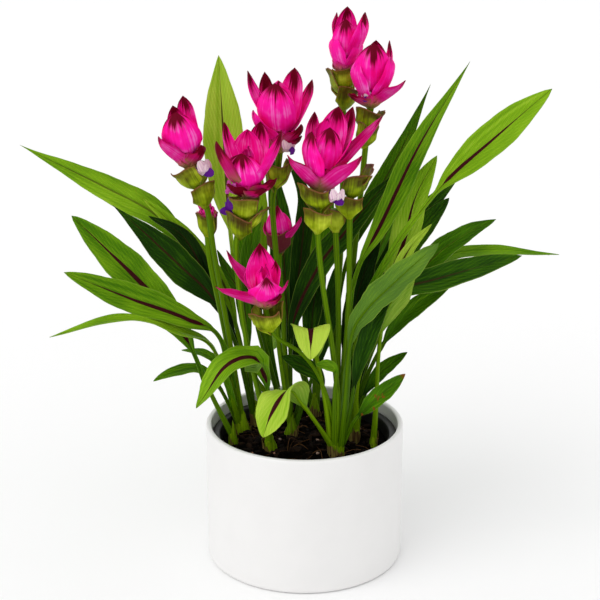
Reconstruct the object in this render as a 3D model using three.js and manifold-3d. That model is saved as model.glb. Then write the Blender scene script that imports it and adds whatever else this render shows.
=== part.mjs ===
// A potted siam tulip, Curcuma alismatifolia: leafy shoots and pink flower heads grow from soil in a
// black nursery pot, which stands inside a white glazed cover pot.
// Millimetres, +Z up, -Y to the front, origin at the centre of the cover pot's base.
import * as THREE from "three";
import { mergeVertices } from "three/addons/utils/BufferGeometryUtils.js";
import Module from "manifold-3d";

const wasm = await Module();
wasm.setup();

// Driving sizes

const GAP = 0.3;
const COVER_POT = { radius: 70, height: 100, wall: 4, floor: 6, foot: 2, lip: 1.2, sides: 40 };
const NURSERY_POT = {
  rimRadius: 65.3,
  rimWidth: 5.1,
  rimDepth: 8,
  rimTop: 92,
  neckRadius: 60.2,
  baseRadius: 45,
  rimRise: 0.6,
  wall: 1.4,
  floor: 2,
  sides: 28,
};
const SOIL = { edgeHeight: 84, centreHeight: 86, bump: 0.9, rings: [0.8, 0.4], holeFloor: 68, sides: 20 };
const SHEATH = { sides: 8, top: 99, taper: 0.78, spread: 0.55, room: 0.36 };
const ROUTE_START = 92;
const SCAPE = { radius: 2.2, sides: 5, steps: 4, headGap: 0.7 };
const LEAF = {
  edge: 0.8,
  stem: 2.6,
  stemHalfWidth: 2.8,
  neckHalfWidth: 2.1,
  neckThickness: 2.1,
  thinned: 0.38,
  longStalk: 0.41,
  longRoute: 5,
  closeRows: [0.16, 0.4, 0.66, 0.88],
  fewRows: [0.2, 0.5, 0.8],
};
const BRACT = {
  thickness: 0.8,
  foot: 1.6,
  footThickness: 1.2,
  footReach: 0.8,
  narrow: 12,
  broad: 14.5,
  roll: 11,
};
const HEAD_CORE = { footRadius: 1.6, radius: 3.4, depth: 1, height: 12, sides: 6 };
const CUP = { thickness: 0.9, length: 19, foot: 2, footReach: 0.6, rollMargin: 1.5 };
const PETAL = { thickness: 0.7, foot: 1.2 };

const UP = new THREE.Vector3(0, 0, 1);
const TOWARD_VIEWER = [0, -0.8, 0.6];

// Colours, as on the photographed plant

const COLOUR = {
  glaze: 0xf4f3f1,
  blackPlastic: 0x161616,
  soil: 0x2a211b,
  leaf: 0x4d8420,
  pink: 0xf01f96,
};

// Solids: closed geometries that manifold-3d joins and cuts

function toSolid(geometry) {
  const bare = geometry.clone();
  bare.deleteAttribute("normal");
  bare.deleteAttribute("uv");
  const merged = mergeVertices(bare, 1e-4);
  const mesh = new wasm.Mesh({
    numProp: 3,
    vertProperties: new Float32Array(merged.attributes.position.array),
    triVerts: new Uint32Array(merged.index.array),
  });
  return new wasm.Manifold(mesh);
}

function toGeometry(solid) {
  const mesh = solid.getMesh();
  const geometry = new THREE.BufferGeometry();
  geometry.setAttribute("position", new THREE.BufferAttribute(new Float32Array(mesh.vertProperties), 3));
  geometry.setIndex(new THREE.BufferAttribute(new Uint32Array(mesh.triVerts), 1));
  geometry.computeVertexNormals();
  return geometry;
}

/** One body: the outer skin of the joined pieces, with the small hollows between them filled. */
function fuse(geometries) {
  const bodies = geometries.map(toSolid).reduce((whole, next) => whole.add(next)).decompose();
  return toGeometry(bodies.reduce((best, body) => (body.volume() > best.volume() ? body : best)));
}

function carve(geometry, cutters) {
  const remains = cutters.map(toSolid).reduce((whole, cutter) => whole.subtract(cutter), toSolid(geometry));
  return toGeometry(remains);
}

function uprightCylinder(topRadius, bottomRadius, bottom, top, sides) {
  const geometry = new THREE.CylinderGeometry(topRadius, bottomRadius, top - bottom, sides);
  geometry.rotateX(Math.PI / 2);
  geometry.translate(0, 0, (top + bottom) / 2);
  return geometry;
}

function turned(profile, sides) {
  const points = profile.map(([radius, height]) => new THREE.Vector2(radius, height));
  const geometry = new THREE.LatheGeometry(points, sides);
  geometry.rotateX(Math.PI / 2);
  return geometry;
}

// Blades: every leaf, bract, cup and petal is a thin closed sheet along a curve

const vector = ([x, y, z]) => new THREE.Vector3(x, y, z);

function lerpRows(rows, u) {
  const last = rows.length - 1;
  const low = Math.max(0, Math.min(Math.floor(u * last), last - 1));
  return vector(rows[low]).lerp(vector(rows[Math.min(low + 1, last)]), u * last - low);
}

/**
 * A closed sheet. route: its centre line; faces: the way its upper face looks, spread along the route;
 * rows: [place along the route, half width, thickness]; columns: places across, from -1 to 1;
 * fold: lift of each half as a slope; roll: radius that the sheet is bent to, towards its lower face;
 * wave: height of the ripples along its edges.
 */
function blade({ route, faces, rows, columns, fold = 0, roll = 0, wave = 0, ripples = 2, phase = 0 }) {
  const curve = new THREE.CatmullRomCurve3(route.map(vector), false, "catmullrom", 0.5);
  const widest = Math.max(...rows.map((row) => row[1]));
  const pointed = rows[rows.length - 1][1] === 0;
  const positions = [];
  for (const [u, half, thickness] of rows) {
    const along = curve.getTangentAt(u);
    const side = along.clone().cross(lerpRows(faces, u)).normalize();
    const normal = side.clone().cross(along).normalize();
    for (const c of columns) {
      const angle = roll ? (half * c) / roll : 0;
      const across = roll ? roll * Math.sin(angle) : half * c;
      const ripple = wave * c * Math.abs(c) * (half / widest) * Math.sin(2 * Math.PI * ripples * u + phase);
      const lift = (roll ? -roll * (1 - Math.cos(angle)) : half * Math.abs(c) * fold) + ripple;
      const centre = curve.getPointAt(u).addScaledVector(side, across).addScaledVector(normal, lift);
      const skin = normal.clone().multiplyScalar(Math.cos(angle)).addScaledVector(side, Math.sin(angle));
      for (const face of [0.5, -0.5]) {
        positions.push(...centre.clone().addScaledVector(skin, face * thickness).toArray());
      }
    }
  }
  const last = rows.length - 1;
  const count = columns.length;
  const corner = (i, j, face) => 2 * (i * count + (pointed && i === last ? 0 : j)) + face;
  const index = [];
  const triangle = (a, b, c) => {
    if (a !== b && b !== c && c !== a) index.push(a, b, c);
  };
  const quad = (a, b, c, d, flip) => {
    if (flip) {
      triangle(a, b, d);
      triangle(b, c, d);
    } else {
      triangle(a, b, c);
      triangle(a, c, d);
    }
  };
  for (let i = 0; i < last; i += 1) {
    for (let j = 0; j < count - 1; j += 1) {
      const flip = columns[j] + columns[j + 1] < 0;
      const ring = [corner(i, j, 0), corner(i, j + 1, 0), corner(i + 1, j + 1, 0), corner(i + 1, j, 0)];
      quad(...ring, flip);
      const under = ring.map((k) => k + 1);
      quad(under[0], under[3], under[2], under[1], flip);
    }
    for (const [j, flip] of [[0, false], [count - 1, true]]) {
      const ring = [corner(i, j, 0), corner(i + 1, j, 0), corner(i + 1, j, 1), corner(i, j, 1)];
      quad(...(flip ? ring.reverse() : ring), false);
    }
  }
  for (let j = 0; j < count - 1; j += 1) {
    quad(corner(0, j, 0), corner(0, j, 1), corner(0, j + 1, 1), corner(0, j + 1, 0), false);
    quad(corner(last, j, 0), corner(last, j + 1, 0), corner(last, j + 1, 1), corner(last, j, 1), false);
  }
  const geometry = new THREE.BufferGeometry();
  geometry.setAttribute("position", new THREE.Float32BufferAttribute(positions, 3));
  geometry.setIndex(index);
  return geometry;
}

// Leaves

/**
 * Half width of a lance-shaped blade of half width 1, at place s from its neck to its tip. drawn: 0 for a
 * full blade, 1 for one that tapers to a long tip.
 */
const lance = (s, drawn) => Math.sin(Math.PI * s ** (1.05 - 0.2 * drawn)) ** (0.75 + 0.4 * drawn);

/** A leaf on its stalk. start: where its blade begins on the route; faces: the way its upper side looks. */
function leaf({ route, width, start = 0.35, faces = [TOWARD_VIEWER], fold = 0.3, drawn = 0, ...bend }) {
  const { edge, stem, stemHalfWidth, neckHalfWidth, neckThickness, longStalk, longRoute, thinned } = LEAF;
  const rows = [
    [0, stemHalfWidth, stem],
    [start, neckHalfWidth, neckThickness],
  ];
  if (start > longStalk) rows.splice(1, 0, [start / 2, neckHalfWidth, stem]);
  for (const s of route.length > longRoute ? LEAF.closeRows : LEAF.fewRows) {
    const half = Math.max(neckHalfWidth * (1 - s), width * lance(s, drawn));
    rows.push([start + (1 - start) * s, half, Math.max(edge, neckThickness * (1 - s / thinned))]);
  }
  rows.push([1, 0, edge]);
  return blade({ route, faces, rows, columns: [-1, 0, 1], fold, ...bend });
}

// Flower heads

/** A place beside an axis: foot, the axis's lean, and a point given by turn, reach and height. */
function axisFrame(foot, lean) {
  const z = new THREE.Vector3(lean[0], lean[1], 1).normalize();
  const x = new THREE.Vector3(1, 0, 0).addScaledVector(z, -z.x).normalize();
  const y = z.clone().cross(x);
  const outward = (degrees) => {
    const turn = THREE.MathUtils.degToRad(degrees);
    return x.clone().multiplyScalar(Math.cos(turn)).addScaledVector(y, Math.sin(turn));
  };
  const at = (degrees, reach, height) =>
    vector(foot).addScaledVector(outward(degrees), reach).addScaledVector(z, height);
  return { outward, at, axis: z };
}

/** A pink bract, its outer face away from the axis: [turn, reach, tip, half width, base, bulge]. */
function bract(frame, [turn, reach, tip, width, base, bulge]) {
  const height = tip - base;
  const route = [
    frame.at(turn, BRACT.footReach, base),
    frame.at(turn, BRACT.footReach + 0.3 * reach + 0.9 * bulge, base + 0.28 * height),
    frame.at(turn, BRACT.footReach + 0.66 * reach + bulge, base + 0.64 * height),
    frame.at(turn, BRACT.footReach + reach, tip),
  ].map((point) => point.toArray());
  const outward = frame.outward(turn).toArray();
  const rows = [
    [0, BRACT.foot, BRACT.footThickness],
    [0.4, 0.95 * width, BRACT.thickness],
    [0.8, 0.8 * width, BRACT.thickness],
    [1, 0, BRACT.thickness],
  ];
  if (width < BRACT.narrow) rows.splice(1, 2, [0.6, width, BRACT.thickness]);
  const columns = width > BRACT.broad ? [-1, -0.5, 0, 0.5, 1] : [-1, 0, 1];
  return blade({ route, faces: [outward], rows, columns, roll: BRACT.roll + 0.5 * width });
}

/** A green cup-shaped bract: [turn, reach, lip height, half width]. */
function cup(frame, [turn, reach, lip, width]) {
  const base = lip - CUP.length;
  const route = [
    frame.at(turn, CUP.footReach, base),
    frame.at(turn, 0.62 * reach, base + 0.34 * CUP.length),
    frame.at(turn, 0.84 * reach, base + 0.72 * CUP.length),
    frame.at(turn, reach, lip),
  ].map((point) => point.toArray());
  const outward = frame.outward(turn).toArray();
  const rows = [
    [0, CUP.foot, CUP.thickness],
    [0.55, 0.95 * width, CUP.thickness],
    [1, 0.8 * width, CUP.thickness],
  ];
  return blade({ route, faces: [outward], rows, columns: [-1, 0, 1], roll: reach + CUP.rollMargin });
}

/** A small true flower that leans out between the bracts: [turn, reach, height, size]. */
function floret(frame, [turn, reach, height, size]) {
  const outward = frame.outward(turn).toArray();
  const petal = (twist, out, rise, width) => {
    const route = [
      frame.at(turn, 1, 0.5),
      frame.at(turn + 0.4 * twist, reach, height),
      frame.at(turn + twist, reach + out, height + rise),
    ].map((point) => point.toArray());
    const rows = [
      [0, PETAL.foot, PETAL.foot],
      [0.7, width, PETAL.thickness],
      [1, 0.5 * width, PETAL.thickness],
    ];
    return blade({ route, faces: [outward], rows, columns: [-1, 0, 1], fold: -0.25 });
  };
  return [
    petal(-14, 0.1 * size, 0.75 * size, 0.36 * size),
    petal(20, 0.3 * size, 0.4 * size, 0.34 * size),
    petal(0, 0.8 * size, -0.2 * size, 0.45 * size),
  ];
}

/** The pink head: its bracts on a short core, with the true flowers that show between them. */
function flowerHead({ foot, lean, bracts, florets = [] }) {
  const frame = axisFrame(foot, lean);
  const { footRadius, radius, depth, height, sides } = HEAD_CORE;
  const core = uprightCylinder(radius, footRadius, -depth, height, sides);
  core.applyQuaternion(new THREE.Quaternion().setFromUnitVectors(UP, frame.axis));
  core.translate(...foot);
  const flowers = florets.flatMap((row) => floret(frame, row));
  return fuse([core, ...bracts.map((row) => bract(frame, row)), ...flowers]);
}

/** A flower stalk up to just under its head's foot, with its green cups. */
function scape({ root, route, cups = [] }) {
  const foot = route[route.length - 1];
  const below = route[route.length - 2];
  const lean = [0, 1].map((k) => (foot[k] - below[k]) / (foot[2] - below[2]));
  const frame = axisFrame(foot, lean);
  const end = frame.at(0, 0, -HEAD_CORE.depth - SCAPE.headGap).toArray();
  const points = [[root[0], root[1], ROUTE_START], ...route.slice(0, -1), end];
  const path = new THREE.CatmullRomCurve3(points.map(vector), false, "catmullrom", 0.5);
  const section = new THREE.Shape();
  for (let k = 0; k < SCAPE.sides; k += 1) {
    const turn = (2 * Math.PI * k) / SCAPE.sides;
    const corner = [SCAPE.radius * Math.cos(turn), SCAPE.radius * Math.sin(turn)];
    if (k) section.lineTo(...corner);
    else section.moveTo(...corner);
  }
  const sweep = { steps: SCAPE.steps, extrudePath: path, bevelEnabled: false };
  return [new THREE.ExtrudeGeometry(section, sweep), ...cups.map((row) => cup(frame, row))];
}

// The plant: each shoot is a sheath in the soil with the leaves and flower stalks that rise from it

const SHOOTS = {
  shoot_west: {
    root: [-44.5, 15],
    radius: 6,
    leaves: [
      {
        route: [[-58, 2, 159], [-81, -14, 181], [-121, -26, 201], [-159, -38, 222]],
        width: 10,
        start: 0.4,
      },
      {
        route: [[-62, -2, 153], [-83, -20, 173], [-120, -40, 190], [-167, -60, 185]],
        width: 7.5,
        faces: [[-0.2, -0.3, 0.9]],
        wave: 0.8,
      },
      {
        route: [[-62, 13, 122], [-75, 12, 134], [-90, 8, 134], [-107, 2, 130]],
        width: 5.5,
        faces: [[0, -0.4, 0.9]],
      },
      { route: [[-60, 20, 130], [-71, 24, 141], [-89, 32, 142]], width: 4, faces: [[0, -0.3, 0.9]] },
    ],
    scapes: [
      {
        route: [[-54, 10, 165], [-62, -4, 227], [-65, -8, 255], [-71, -9, 271], [-76, -10, 286]],
        cups: [[-115, 11, 2, 11], [-60, 10, -12, 10], [70, 9, 0, 10]],
      },
      {
        route: [[-58, 14, 171], [-66, 12, 218], [-67, 12, 247]],
        cups: [[-100, 6.5, 2, 7], [80, 6, 0, 7]],
      },
    ],
  },
  leaf_west: {
    root: [-50, -6],
    radius: 3.2,
    leaves: [
      {
        route: [[-66, -7, 124], [-82, -6, 164], [-103, -2, 192], [-131, 4, 220], [-160, 10, 248]],
        width: 13,
        start: 0.34,
      },
    ],
  },
  shoot_west_back: {
    root: [-34, 30],
    radius: 6,
    leaves: [
      {
        route: [[-53, 44, 168], [-76, 52, 202], [-106, 60, 232], [-147, 66, 254], [-205, 74, 283]],
        width: 10.5,
        start: 0.46,
        drawn: 0.6,
      },
      { route: [[-54, 38, 178], [-68, 42, 205], [-89, 46, 231], [-115, 50, 250]], width: 8 },
      { route: [[-52, 30, 158], [-65, 32, 183], [-84, 34, 224], [-110, 36, 241]], width: 6.5 },
      {
        route: [[-50, 24, 148], [-65, 24, 180], [-87, 25, 205], [-114, 28, 235], [-135, 32, 250]],
        width: 11.5,
        drawn: 0.4,
      },
      { route: [[-43, 32, 172], [-47, 32, 187], [-56, 31, 204], [-62, 30, 218]], width: 5 },
    ],
  },
  shoot_southwest: {
    root: [-24, -17],
    radius: 6,
    leaves: [
      {
        route: [[-25, -20, 124], [-28, -24, 146], [-37, -34, 160], [-54, -46, 157], [-72, -58, 133]],
        width: 11,
        start: 0.3,
        faces: [[-0.5, -0.8, 0.3], [-0.4, -0.4, 0.8]],
      },
    ],
    scapes: [
      {
        route: [[-34, -20, 139], [-42, -20, 182], [-46, -20, 234], [-41, -21, 252], [-38, -22, 268]],
        cups: [[-110, 11, 2, 12], [-25, 13, -4, 10], [-115, 10, -11, 11], [100, 10, -2, 11]],
      },
    ],
  },
  shoot_north: {
    root: [-14, 42],
    radius: 6,
    leaves: [
      {
        route: [[-39, 44, 121], [-45, 48, 167], [-53, 52, 222], [-57, 56, 291], [-60, 60, 350]],
        width: 15.5,
      },
      { route: [[-25, 44, 137], [-29, 48, 182], [-35, 54, 240], [-41, 62, 294]], width: 9, start: 0.5 },
      { route: [[-31, 38, 155], [-39, 38, 196], [-37, 40, 222], [-30, 44, 246]], width: 7, start: 0.4 },
      { route: [[-34, 66, 143], [-41, 86, 193], [-48, 112, 260]], width: 9 },
    ],
  },
  shoot_centre: {
    root: [-10, 8],
    radius: 6,
    leaves: [
      {
        route: [[-10, 12, 126], [-8, 16, 168], [9, 19, 207], [28, 20, 233], [46, 20, 256], [61, 20, 274]],
        width: 9,
        start: 0.3,
      },
      { route: [[-10, 24, 138], [-6, 34, 182], [-6, 44, 214], [-5, 50, 253], [-12, 54, 282]], width: 8 },
      { route: [[3, 20, 138], [6, 24, 175], [10, 26, 204], [14, 28, 225]], width: 7.5 },
      { route: [[4, 10, 124], [9, 14, 148], [13, 16, 170], [16, 18, 191]], width: 6 },
    ],
    scapes: [
      {
        route: [[-19, 8, 165], [-18, 9, 195], [-20, 9, 224], [-22, 9, 256], [-19, 8, 275], [-17, 8, 293]],
        cups: [[-100, 8, -7, 9], [170, 8, -11, 8], [20, 9, -8, 8]],
      },
      {
        route: [[-14, 16, 147], [-15, 22, 175], [-17, 26, 193], [-18, 27, 209], [-18, 27, 226]],
        cups: [[-90, 9, 2, 10], [90, 9, 0, 10]],
      },
    ],
  },
  shoot_south: {
    root: [22, -26],
    radius: 6.5,
    leaves: [
      { route: [[20, -28, 135], [19, -31, 146], [14, -35, 154], [6, -39, 159]], width: 4.5, start: 0.6 },
      { route: [[14, -16, 126], [9, -13, 139], [-3, -12, 147], [-16, -14, 154]], width: 6, start: 0.5 },
      {
        route: [
          [10, -33, 109], [-3, -42, 132], [-10, -48, 142],
          [-18, -55, 136], [-24, -58, 125], [-28, -60, 113],
        ],
        width: 13,
        start: 0.4,
        faces: [[1.5, 2, 0], [0.5, 1.5, 0.3], [-0.3, 0.1, 0.55], [-0.1, -2, 0.6]],
      },
      {
        route: [[14, -26, 126], [8, -28, 158], [4, -33, 178], [4, -41, 182], [4, -46, 176], [4, -51, 165]],
        width: 12.5,
        start: 0.56,
        faces: [[0, 3, 0], [0, -1, 1]],
      },
      {
        route: [[28, -28, 127], [31, -32, 172], [40, -37, 194], [62, -42, 219], [87, -50, 246]],
        width: 10.5,
        start: 0.42,
        faces: [[0, 0.95, -0.2]],
        wave: 1,
      },
      {
        route: [
          [29, -22, 125], [35, -18, 154], [47, -12, 172],
          [63, -8, 198], [92, -10, 209], [145, -22, 229],
        ],
        width: 9.5,
        start: 0.45,
      },
      { route: [[29, -25, 103], [33, -28, 120], [42, -32, 132], [54, -36, 141], [68, -40, 151]], width: 8 },
      {
        route: [[31, -27, 118], [36, -29, 150], [42, -31, 173], [51, -33, 195], [60, -35, 212]],
        width: 6.5,
      },
    ],
    scapes: [
      {
        route: [
          [23, -26, 126], [19, -25, 162], [12, -24, 209],
          [9, -24, 238], [9, -24, 257], [10, -24, 276],
        ],
        cups: [[-115, 13, 2, 12], [-95, 10, -14, 10.5], [90, 10, -3, 11]],
      },
      {
        route: [[28, -20, 161], [30, -14, 195], [30, -12, 245], [30, -12, 264], [30, -12, 279]],
        cups: [[-60, 12, 2, 12], [20, 14, 5, 8], [-100, 10, -10, 11]],
      },
      {
        route: [[23, -18, 153], [23, -10, 194], [21, -4, 241], [20, -4, 257]],
        cups: [[-100, 7, 0, 8], [80, 7, -1, 8]],
      },
      {
        route: [
          [18, -26, 119], [9, -29, 146], [-3, -34, 164],
          [-19, -42, 178], [-24, -45, 191], [-26, -46, 200],
        ],
        cups: [[-95, 11, 0, 11], [50, 10, 0, 10], [165, 10, -2, 9]],
      },
    ],
  },
  shoot_east: {
    root: [34, 2],
    radius: 6,
    leaves: [
      {
        route: [[32, 4, 137], [31, 5, 181], [38, 6, 214], [52, 9, 241], [78, 18, 295], [112, 28, 351]],
        width: 9,
        start: 0.42,
        drawn: 0.9,
      },
      {
        route: [
          [34, 2, 130], [40, 1, 182], [58, 0, 222], [74, -2, 248],
          [97, -8, 279], [131, -22, 315], [157, -34, 343],
        ],
        width: 11.5,
        start: 0.64,
      },
      {
        route: [[37, 10, 134], [53, 14, 186], [68, 16, 224], [76, 18, 258], [91, 23, 287]],
        width: 10,
        start: 0.5,
      },
      { route: [[36, 0, 132], [49, 1, 186], [63, -4, 224], [86, -8, 247]], width: 5, start: 0.5 },
      {
        route: [[38, 6, 128], [58, 8, 178], [85, 8, 214], [107, 5, 234], [130, 0, 248]],
        width: 8,
        start: 0.48,
      },
      {
        route: [[41, 10, 127], [62, 16, 177], [95, 20, 212], [132, 14, 221], [175, 4, 221]],
        width: 6,
        faces: [[0, -0.4, 0.9]],
        start: 0.4,
        drawn: 0.6,
      },
      {
        route: [[42, 4, 125], [54, 6, 153], [66, 7, 171], [82, 7, 186], [102, 4, 200]],
        width: 6.5,
        start: 0.5,
      },
      { route: [[41, 2, 115], [50, 1, 132], [61, -2, 144], [72, -6, 154]], width: 5 },
      { route: [[38, 14, 122], [44, 19, 150], [52, 22, 177], [60, 25, 200]], width: 7 },
    ],
  },
  shoot_east_back: {
    root: [28, 30],
    radius: 6,
    leaves: [
      {
        route: [[22, 40, 139], [29, 48, 197], [46, 55, 240], [70, 62, 285], [89, 66, 329]],
        width: 8.5,
        start: 0.45,
        drawn: 1,
      },
      { route: [[42, 42, 153], [64, 48, 193], [86, 54, 222], [104, 60, 248]], width: 9.5 },
      { route: [[41, 50, 158], [66, 58, 209], [91, 64, 241], [111, 70, 260]], width: 8 },
      { route: [[34, 66, 153], [49, 84, 186], [80, 112, 248]], width: 10 },
      {
        route: [[28, 28, 120], [31, 26, 150], [37, 29, 180], [44, 31, 205], [54, 33, 228]],
        width: 8.5,
        start: 0.3,
      },
    ],
    scapes: [
      {
        route: [[22, 38, 139], [26, 44, 213], [27, 48, 278], [27, 50, 308], [27, 50, 323], [28, 50, 338]],
        cups: [[-90, 9, 5, 11], [195, 11, 3, 8], [-60, 9, -8, 10], [100, 9, -2, 10]],
      },
      {
        route: [[29, 34, 141], [35, 34, 209], [40, 32, 268], [42, 30, 293], [43, 30, 306], [45, 30, 319]],
        cups: [[-100, 10, -1, 11], [10, 11, 0, 9], [-90, 9, -12, 9]],
      },
    ],
  },
  leaf_east: {
    root: [48.5, -8],
    radius: 3.4,
    leaves: [
      {
        route: [[50, -14, 120], [51, -18, 160], [54, -21, 185], [64, -25, 206], [73, -29, 220]],
        width: 9.5,
        start: 0.6,
        faces: [[0.3, 0.8, 0.4]],
      },
    ],
  },
  shoot_back: {
    root: [8, 44],
    radius: 5.5,
    leaves: [
      { route: [[-11, 66, 145], [-14, 90, 200], [-21, 116, 295]], width: 10 },
      { route: [[8, 66, 145], [10, 84, 194], [15, 108, 280]], width: 10 },
      {
        route: [[-4, 62, 128], [-12, 80, 138], [-18, 97, 133], [-24, 110, 114]],
        width: 10,
        faces: [TOWARD_VIEWER, [0, 0.9, 0.5]],
      },
      {
        route: [[14, 62, 130], [22, 80, 140], [28, 98, 134], [33, 112, 116]],
        width: 10,
        faces: [TOWARD_VIEWER, [0, 0.9, 0.5]],
      },
    ],
  },
};

// Heads, each above the scape that ends at its foot

const HEADS = {
  head_northeast: {
    foot: [28, 50, 338],
    lean: [0.03, 0],
    bracts: [
      [95, 2, 47, 9.5, 3, 5],
      [-100, 6, 39, 11, 4, 4.5],
      [150, 9, 42, 6, 4, 3],
      [35, 16, 42, 8.5, 3, 3],
      [-45, 14, 38, 8.5, 4, 3],
      [-150, 9, 28, 11, 0, 4.5],
      [-30, 9, 26, 11, 0, 4.5],
    ],
  },
  head_east: {
    foot: [45, 30, 319],
    lean: [0.02, 0],
    bracts: [
      [-88, 7, 45, 15.5, 6, 6.5],
      [70, 8, 45, 10, 4, 4.5],
      [20, 13, 45, 7.5, 4, 4],
      [-30, 14, 36, 11, 2, 5.5],
      [-150, 12, 34, 10, 2, 5.5],
      [-30, 26, 20, 10, 0, 1.5],
      [-145, 19, 10, 9, -0.5, 1],
      [95, 11, 38, 12, 2, 4.5],
    ],
    florets: [[-115, 8, 7, 6]],
  },
  head_north: {
    foot: [-17, 8, 293],
    lean: [-0.02, 0],
    bracts: [
      [-105, 8, 48, 16, 7, 6.5],
      [155, 23, 53, 7.5, 6, 2],
      [118, 20, 51, 7.5, 4, 3],
      [52, 19, 54, 13, 5, 4.5],
      [25, 26, 46, 10, 4, 3.5],
      [-150, 20, 30, 10, 2, 3.5],
      [-40, 14, 25, 10, 1, 4.5],
      [-25, 17, 11, 9, 0, 1.5],
      [90, 14, 46, 13, 3, 4.5],
    ],
    florets: [[-55, 10.5, 3.4, 7]],
  },
  head_south: {
    foot: [10, -24, 276],
    lean: [0.12, 0],
    bracts: [
      [-145, 13, 38, 11.5, 3, 5.5],
      [140, 13, 48, 10, 5, 4.5],
      [60, 12, 53, 11.5, 6, 3.5],
      [30, 18, 54, 12.5, 5, 4.5],
      [-80, 7, 42, 11.5, 5, 4.5],
      [10, 36, 50, 8, 4, 1],
      [-35, 29, 25, 10, 0.5, 2.5],
      [-160, 26, 20, 11.5, 0.5, 1.5],
      [90, 13, 44, 12.5, 3, 4.5],
    ],
    florets: [[-60, 11, 4.5, 7]],
  },
  head_west: {
    foot: [-76, -10, 286],
    lean: [-0.2, 0],
    bracts: [
      [-95, 8, 40, 16, 4, 6.5],
      [55, 9, 47, 11, 4, 3.5],
      [115, 8, 42, 8.5, 4, 3],
      [-150, 18, 26, 11, 0.5, 3.5],
      [-35, 14, 15, 11, -0.5, 3.5],
      [90, 10, 36, 12, 2, 4.5],
    ],
    florets: [[-48, 12, 2.5, 8]],
  },
  head_southwest: {
    foot: [-38, -22, 268],
    lean: [0, 0],
    bracts: [
      [-105, 12, 33, 16.5, 3, 5.5],
      [-155, 22, 40, 11.5, 2, 3.5],
      [150, 18, 49, 8, 4, 2],
      [55, 16, 49, 11.5, 4, 4.5],
      [-20, 25, 47, 11, 3, 3.5],
      [-25, 22, 15, 10.5, -0.5, 2.5],
      [-50, 17, 9, 10.5, -0.5, 2.5],
      [90, 13, 44, 12.5, 3, 4.5],
    ],
    florets: [[-135, 13, 7.5, 7]],
  },
  head_low: {
    foot: [-26, -46, 200],
    lean: [-0.03, 0],
    bracts: [
      [105, 10, 42, 13, 3, 3.5],
      [150, 29, 35, 7.5, 2, 1],
      [-165, 33, 17, 9.5, 0.5, 1],
      [35, 10, 31, 9.5, 2, 3],
      [-82, 13, 25, 14, 1, 4.5],
      [-25, 18, 20, 7.5, 1, 1],
      [-35, 13, 11, 8.5, -0.5, 2],
      [135, 17, 24, 9.5, 0, 3],
    ],
  },
  head_middle: {
    foot: [-18, 27, 226],
    lean: [0, 0],
    bracts: [
      [-110, 5, 22, 10.5, 0.5, 3.5],
      [165, 12, 13, 9, 0, 2],
      [-25, 17, 16, 9, 0, 2],
      [90, 6, 20, 10, 0.5, 3.5],
    ],
  },
  head_bud: {
    foot: [-67, 12, 247],
    lean: [0, 0],
    bracts: [
      [180, 6, 11, 4, 0, 1],
      [0, 4.5, 7, 4.5, 0, 1],
      [-90, 3, 6, 5, 0, 1],
    ],
  },
};

function shoot({ root, radius, leaves = [], scapes = [] }) {
  const { taper, top, sides, spread } = SHEATH;
  const sheath = uprightCylinder(radius * taper, radius, SOIL.holeFloor + GAP, top, sides);
  sheath.translate(root[0], root[1], 0);
  const blades = leaves.map((spec) => {
    const away = new THREE.Vector2(spec.route[0][0] - root[0], spec.route[0][1] - root[1]);
    away.setLength(Math.min(away.length(), spread * radius));
    const start = [root[0] + away.x, root[1] + away.y, ROUTE_START];
    return leaf({ ...spec, route: [start, ...spec.route] });
  });
  return fuse([sheath, ...blades, ...scapes.flatMap((spec) => scape({ root, ...spec }))]);
}

// Pots and soil

function coverPot() {
  const { radius, height, wall, floor, foot, lip, sides } = COVER_POT;
  const inner = radius - wall;
  const profile = [
    [0, 0],
    [radius - foot, 0],
    [radius, foot],
    [radius, height - lip],
    [radius - lip, height],
    [inner + lip, height],
    [inner, height - lip],
    [inner, floor],
    [0, floor],
  ];
  return turned(profile, sides);
}

function nurseryPot() {
  const { rimRadius, rimWidth, rimDepth, rimTop, rimRise } = NURSERY_POT;
  const { neckRadius, baseRadius, wall, floor, sides } = NURSERY_POT;
  const bottom = COVER_POT.floor + GAP;
  const neckHeight = rimTop - rimDepth;
  const profile = [
    [0, bottom],
    [baseRadius, bottom],
    [neckRadius, neckHeight],
    [rimRadius, neckHeight + rimRise],
    [rimRadius, rimTop],
    [rimRadius - rimWidth, rimTop],
    [neckRadius - wall, neckHeight],
    [baseRadius - wall, bottom + floor],
    [0, bottom + floor],
  ];
  return turned(profile, sides);
}

function soil() {
  const { edgeHeight, centreHeight, bump, rings, holeFloor, sides } = SOIL;
  const { neckRadius, baseRadius, wall, floor } = NURSERY_POT;
  const bottom = COVER_POT.floor + floor + 2 * GAP;
  const edge = neckRadius - wall - 2 * GAP;
  const profile = [
    [0, bottom],
    [baseRadius - wall - 2 * GAP, bottom],
    [edge, edgeHeight],
    ...rings.map((r) => [r * edge, centreHeight - (centreHeight - edgeHeight) * r * r]),
    [0, centreHeight],
  ];
  const body = turned(profile, sides);
  const position = body.attributes.position;
  for (let k = 0; k < position.count; k += 1) {
    const [x, y, z] = [position.getX(k), position.getY(k), position.getZ(k)];
    const hills = Math.sin(0.31 * x + 0.17 * y) + Math.cos(0.23 * x - 0.37 * y);
    if (z > edgeHeight + GAP) position.setZ(k, z + bump * hills);
  }
  const holes = Object.values(SHOOTS).map(({ root, radius }) => {
    const room = radius + SHEATH.room;
    return uprightCylinder(room, room, holeFloor, SHEATH.top, SHEATH.sides).translate(root[0], root[1], 0);
  });
  return carve(body, holes);
}

// The scene graph

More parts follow.
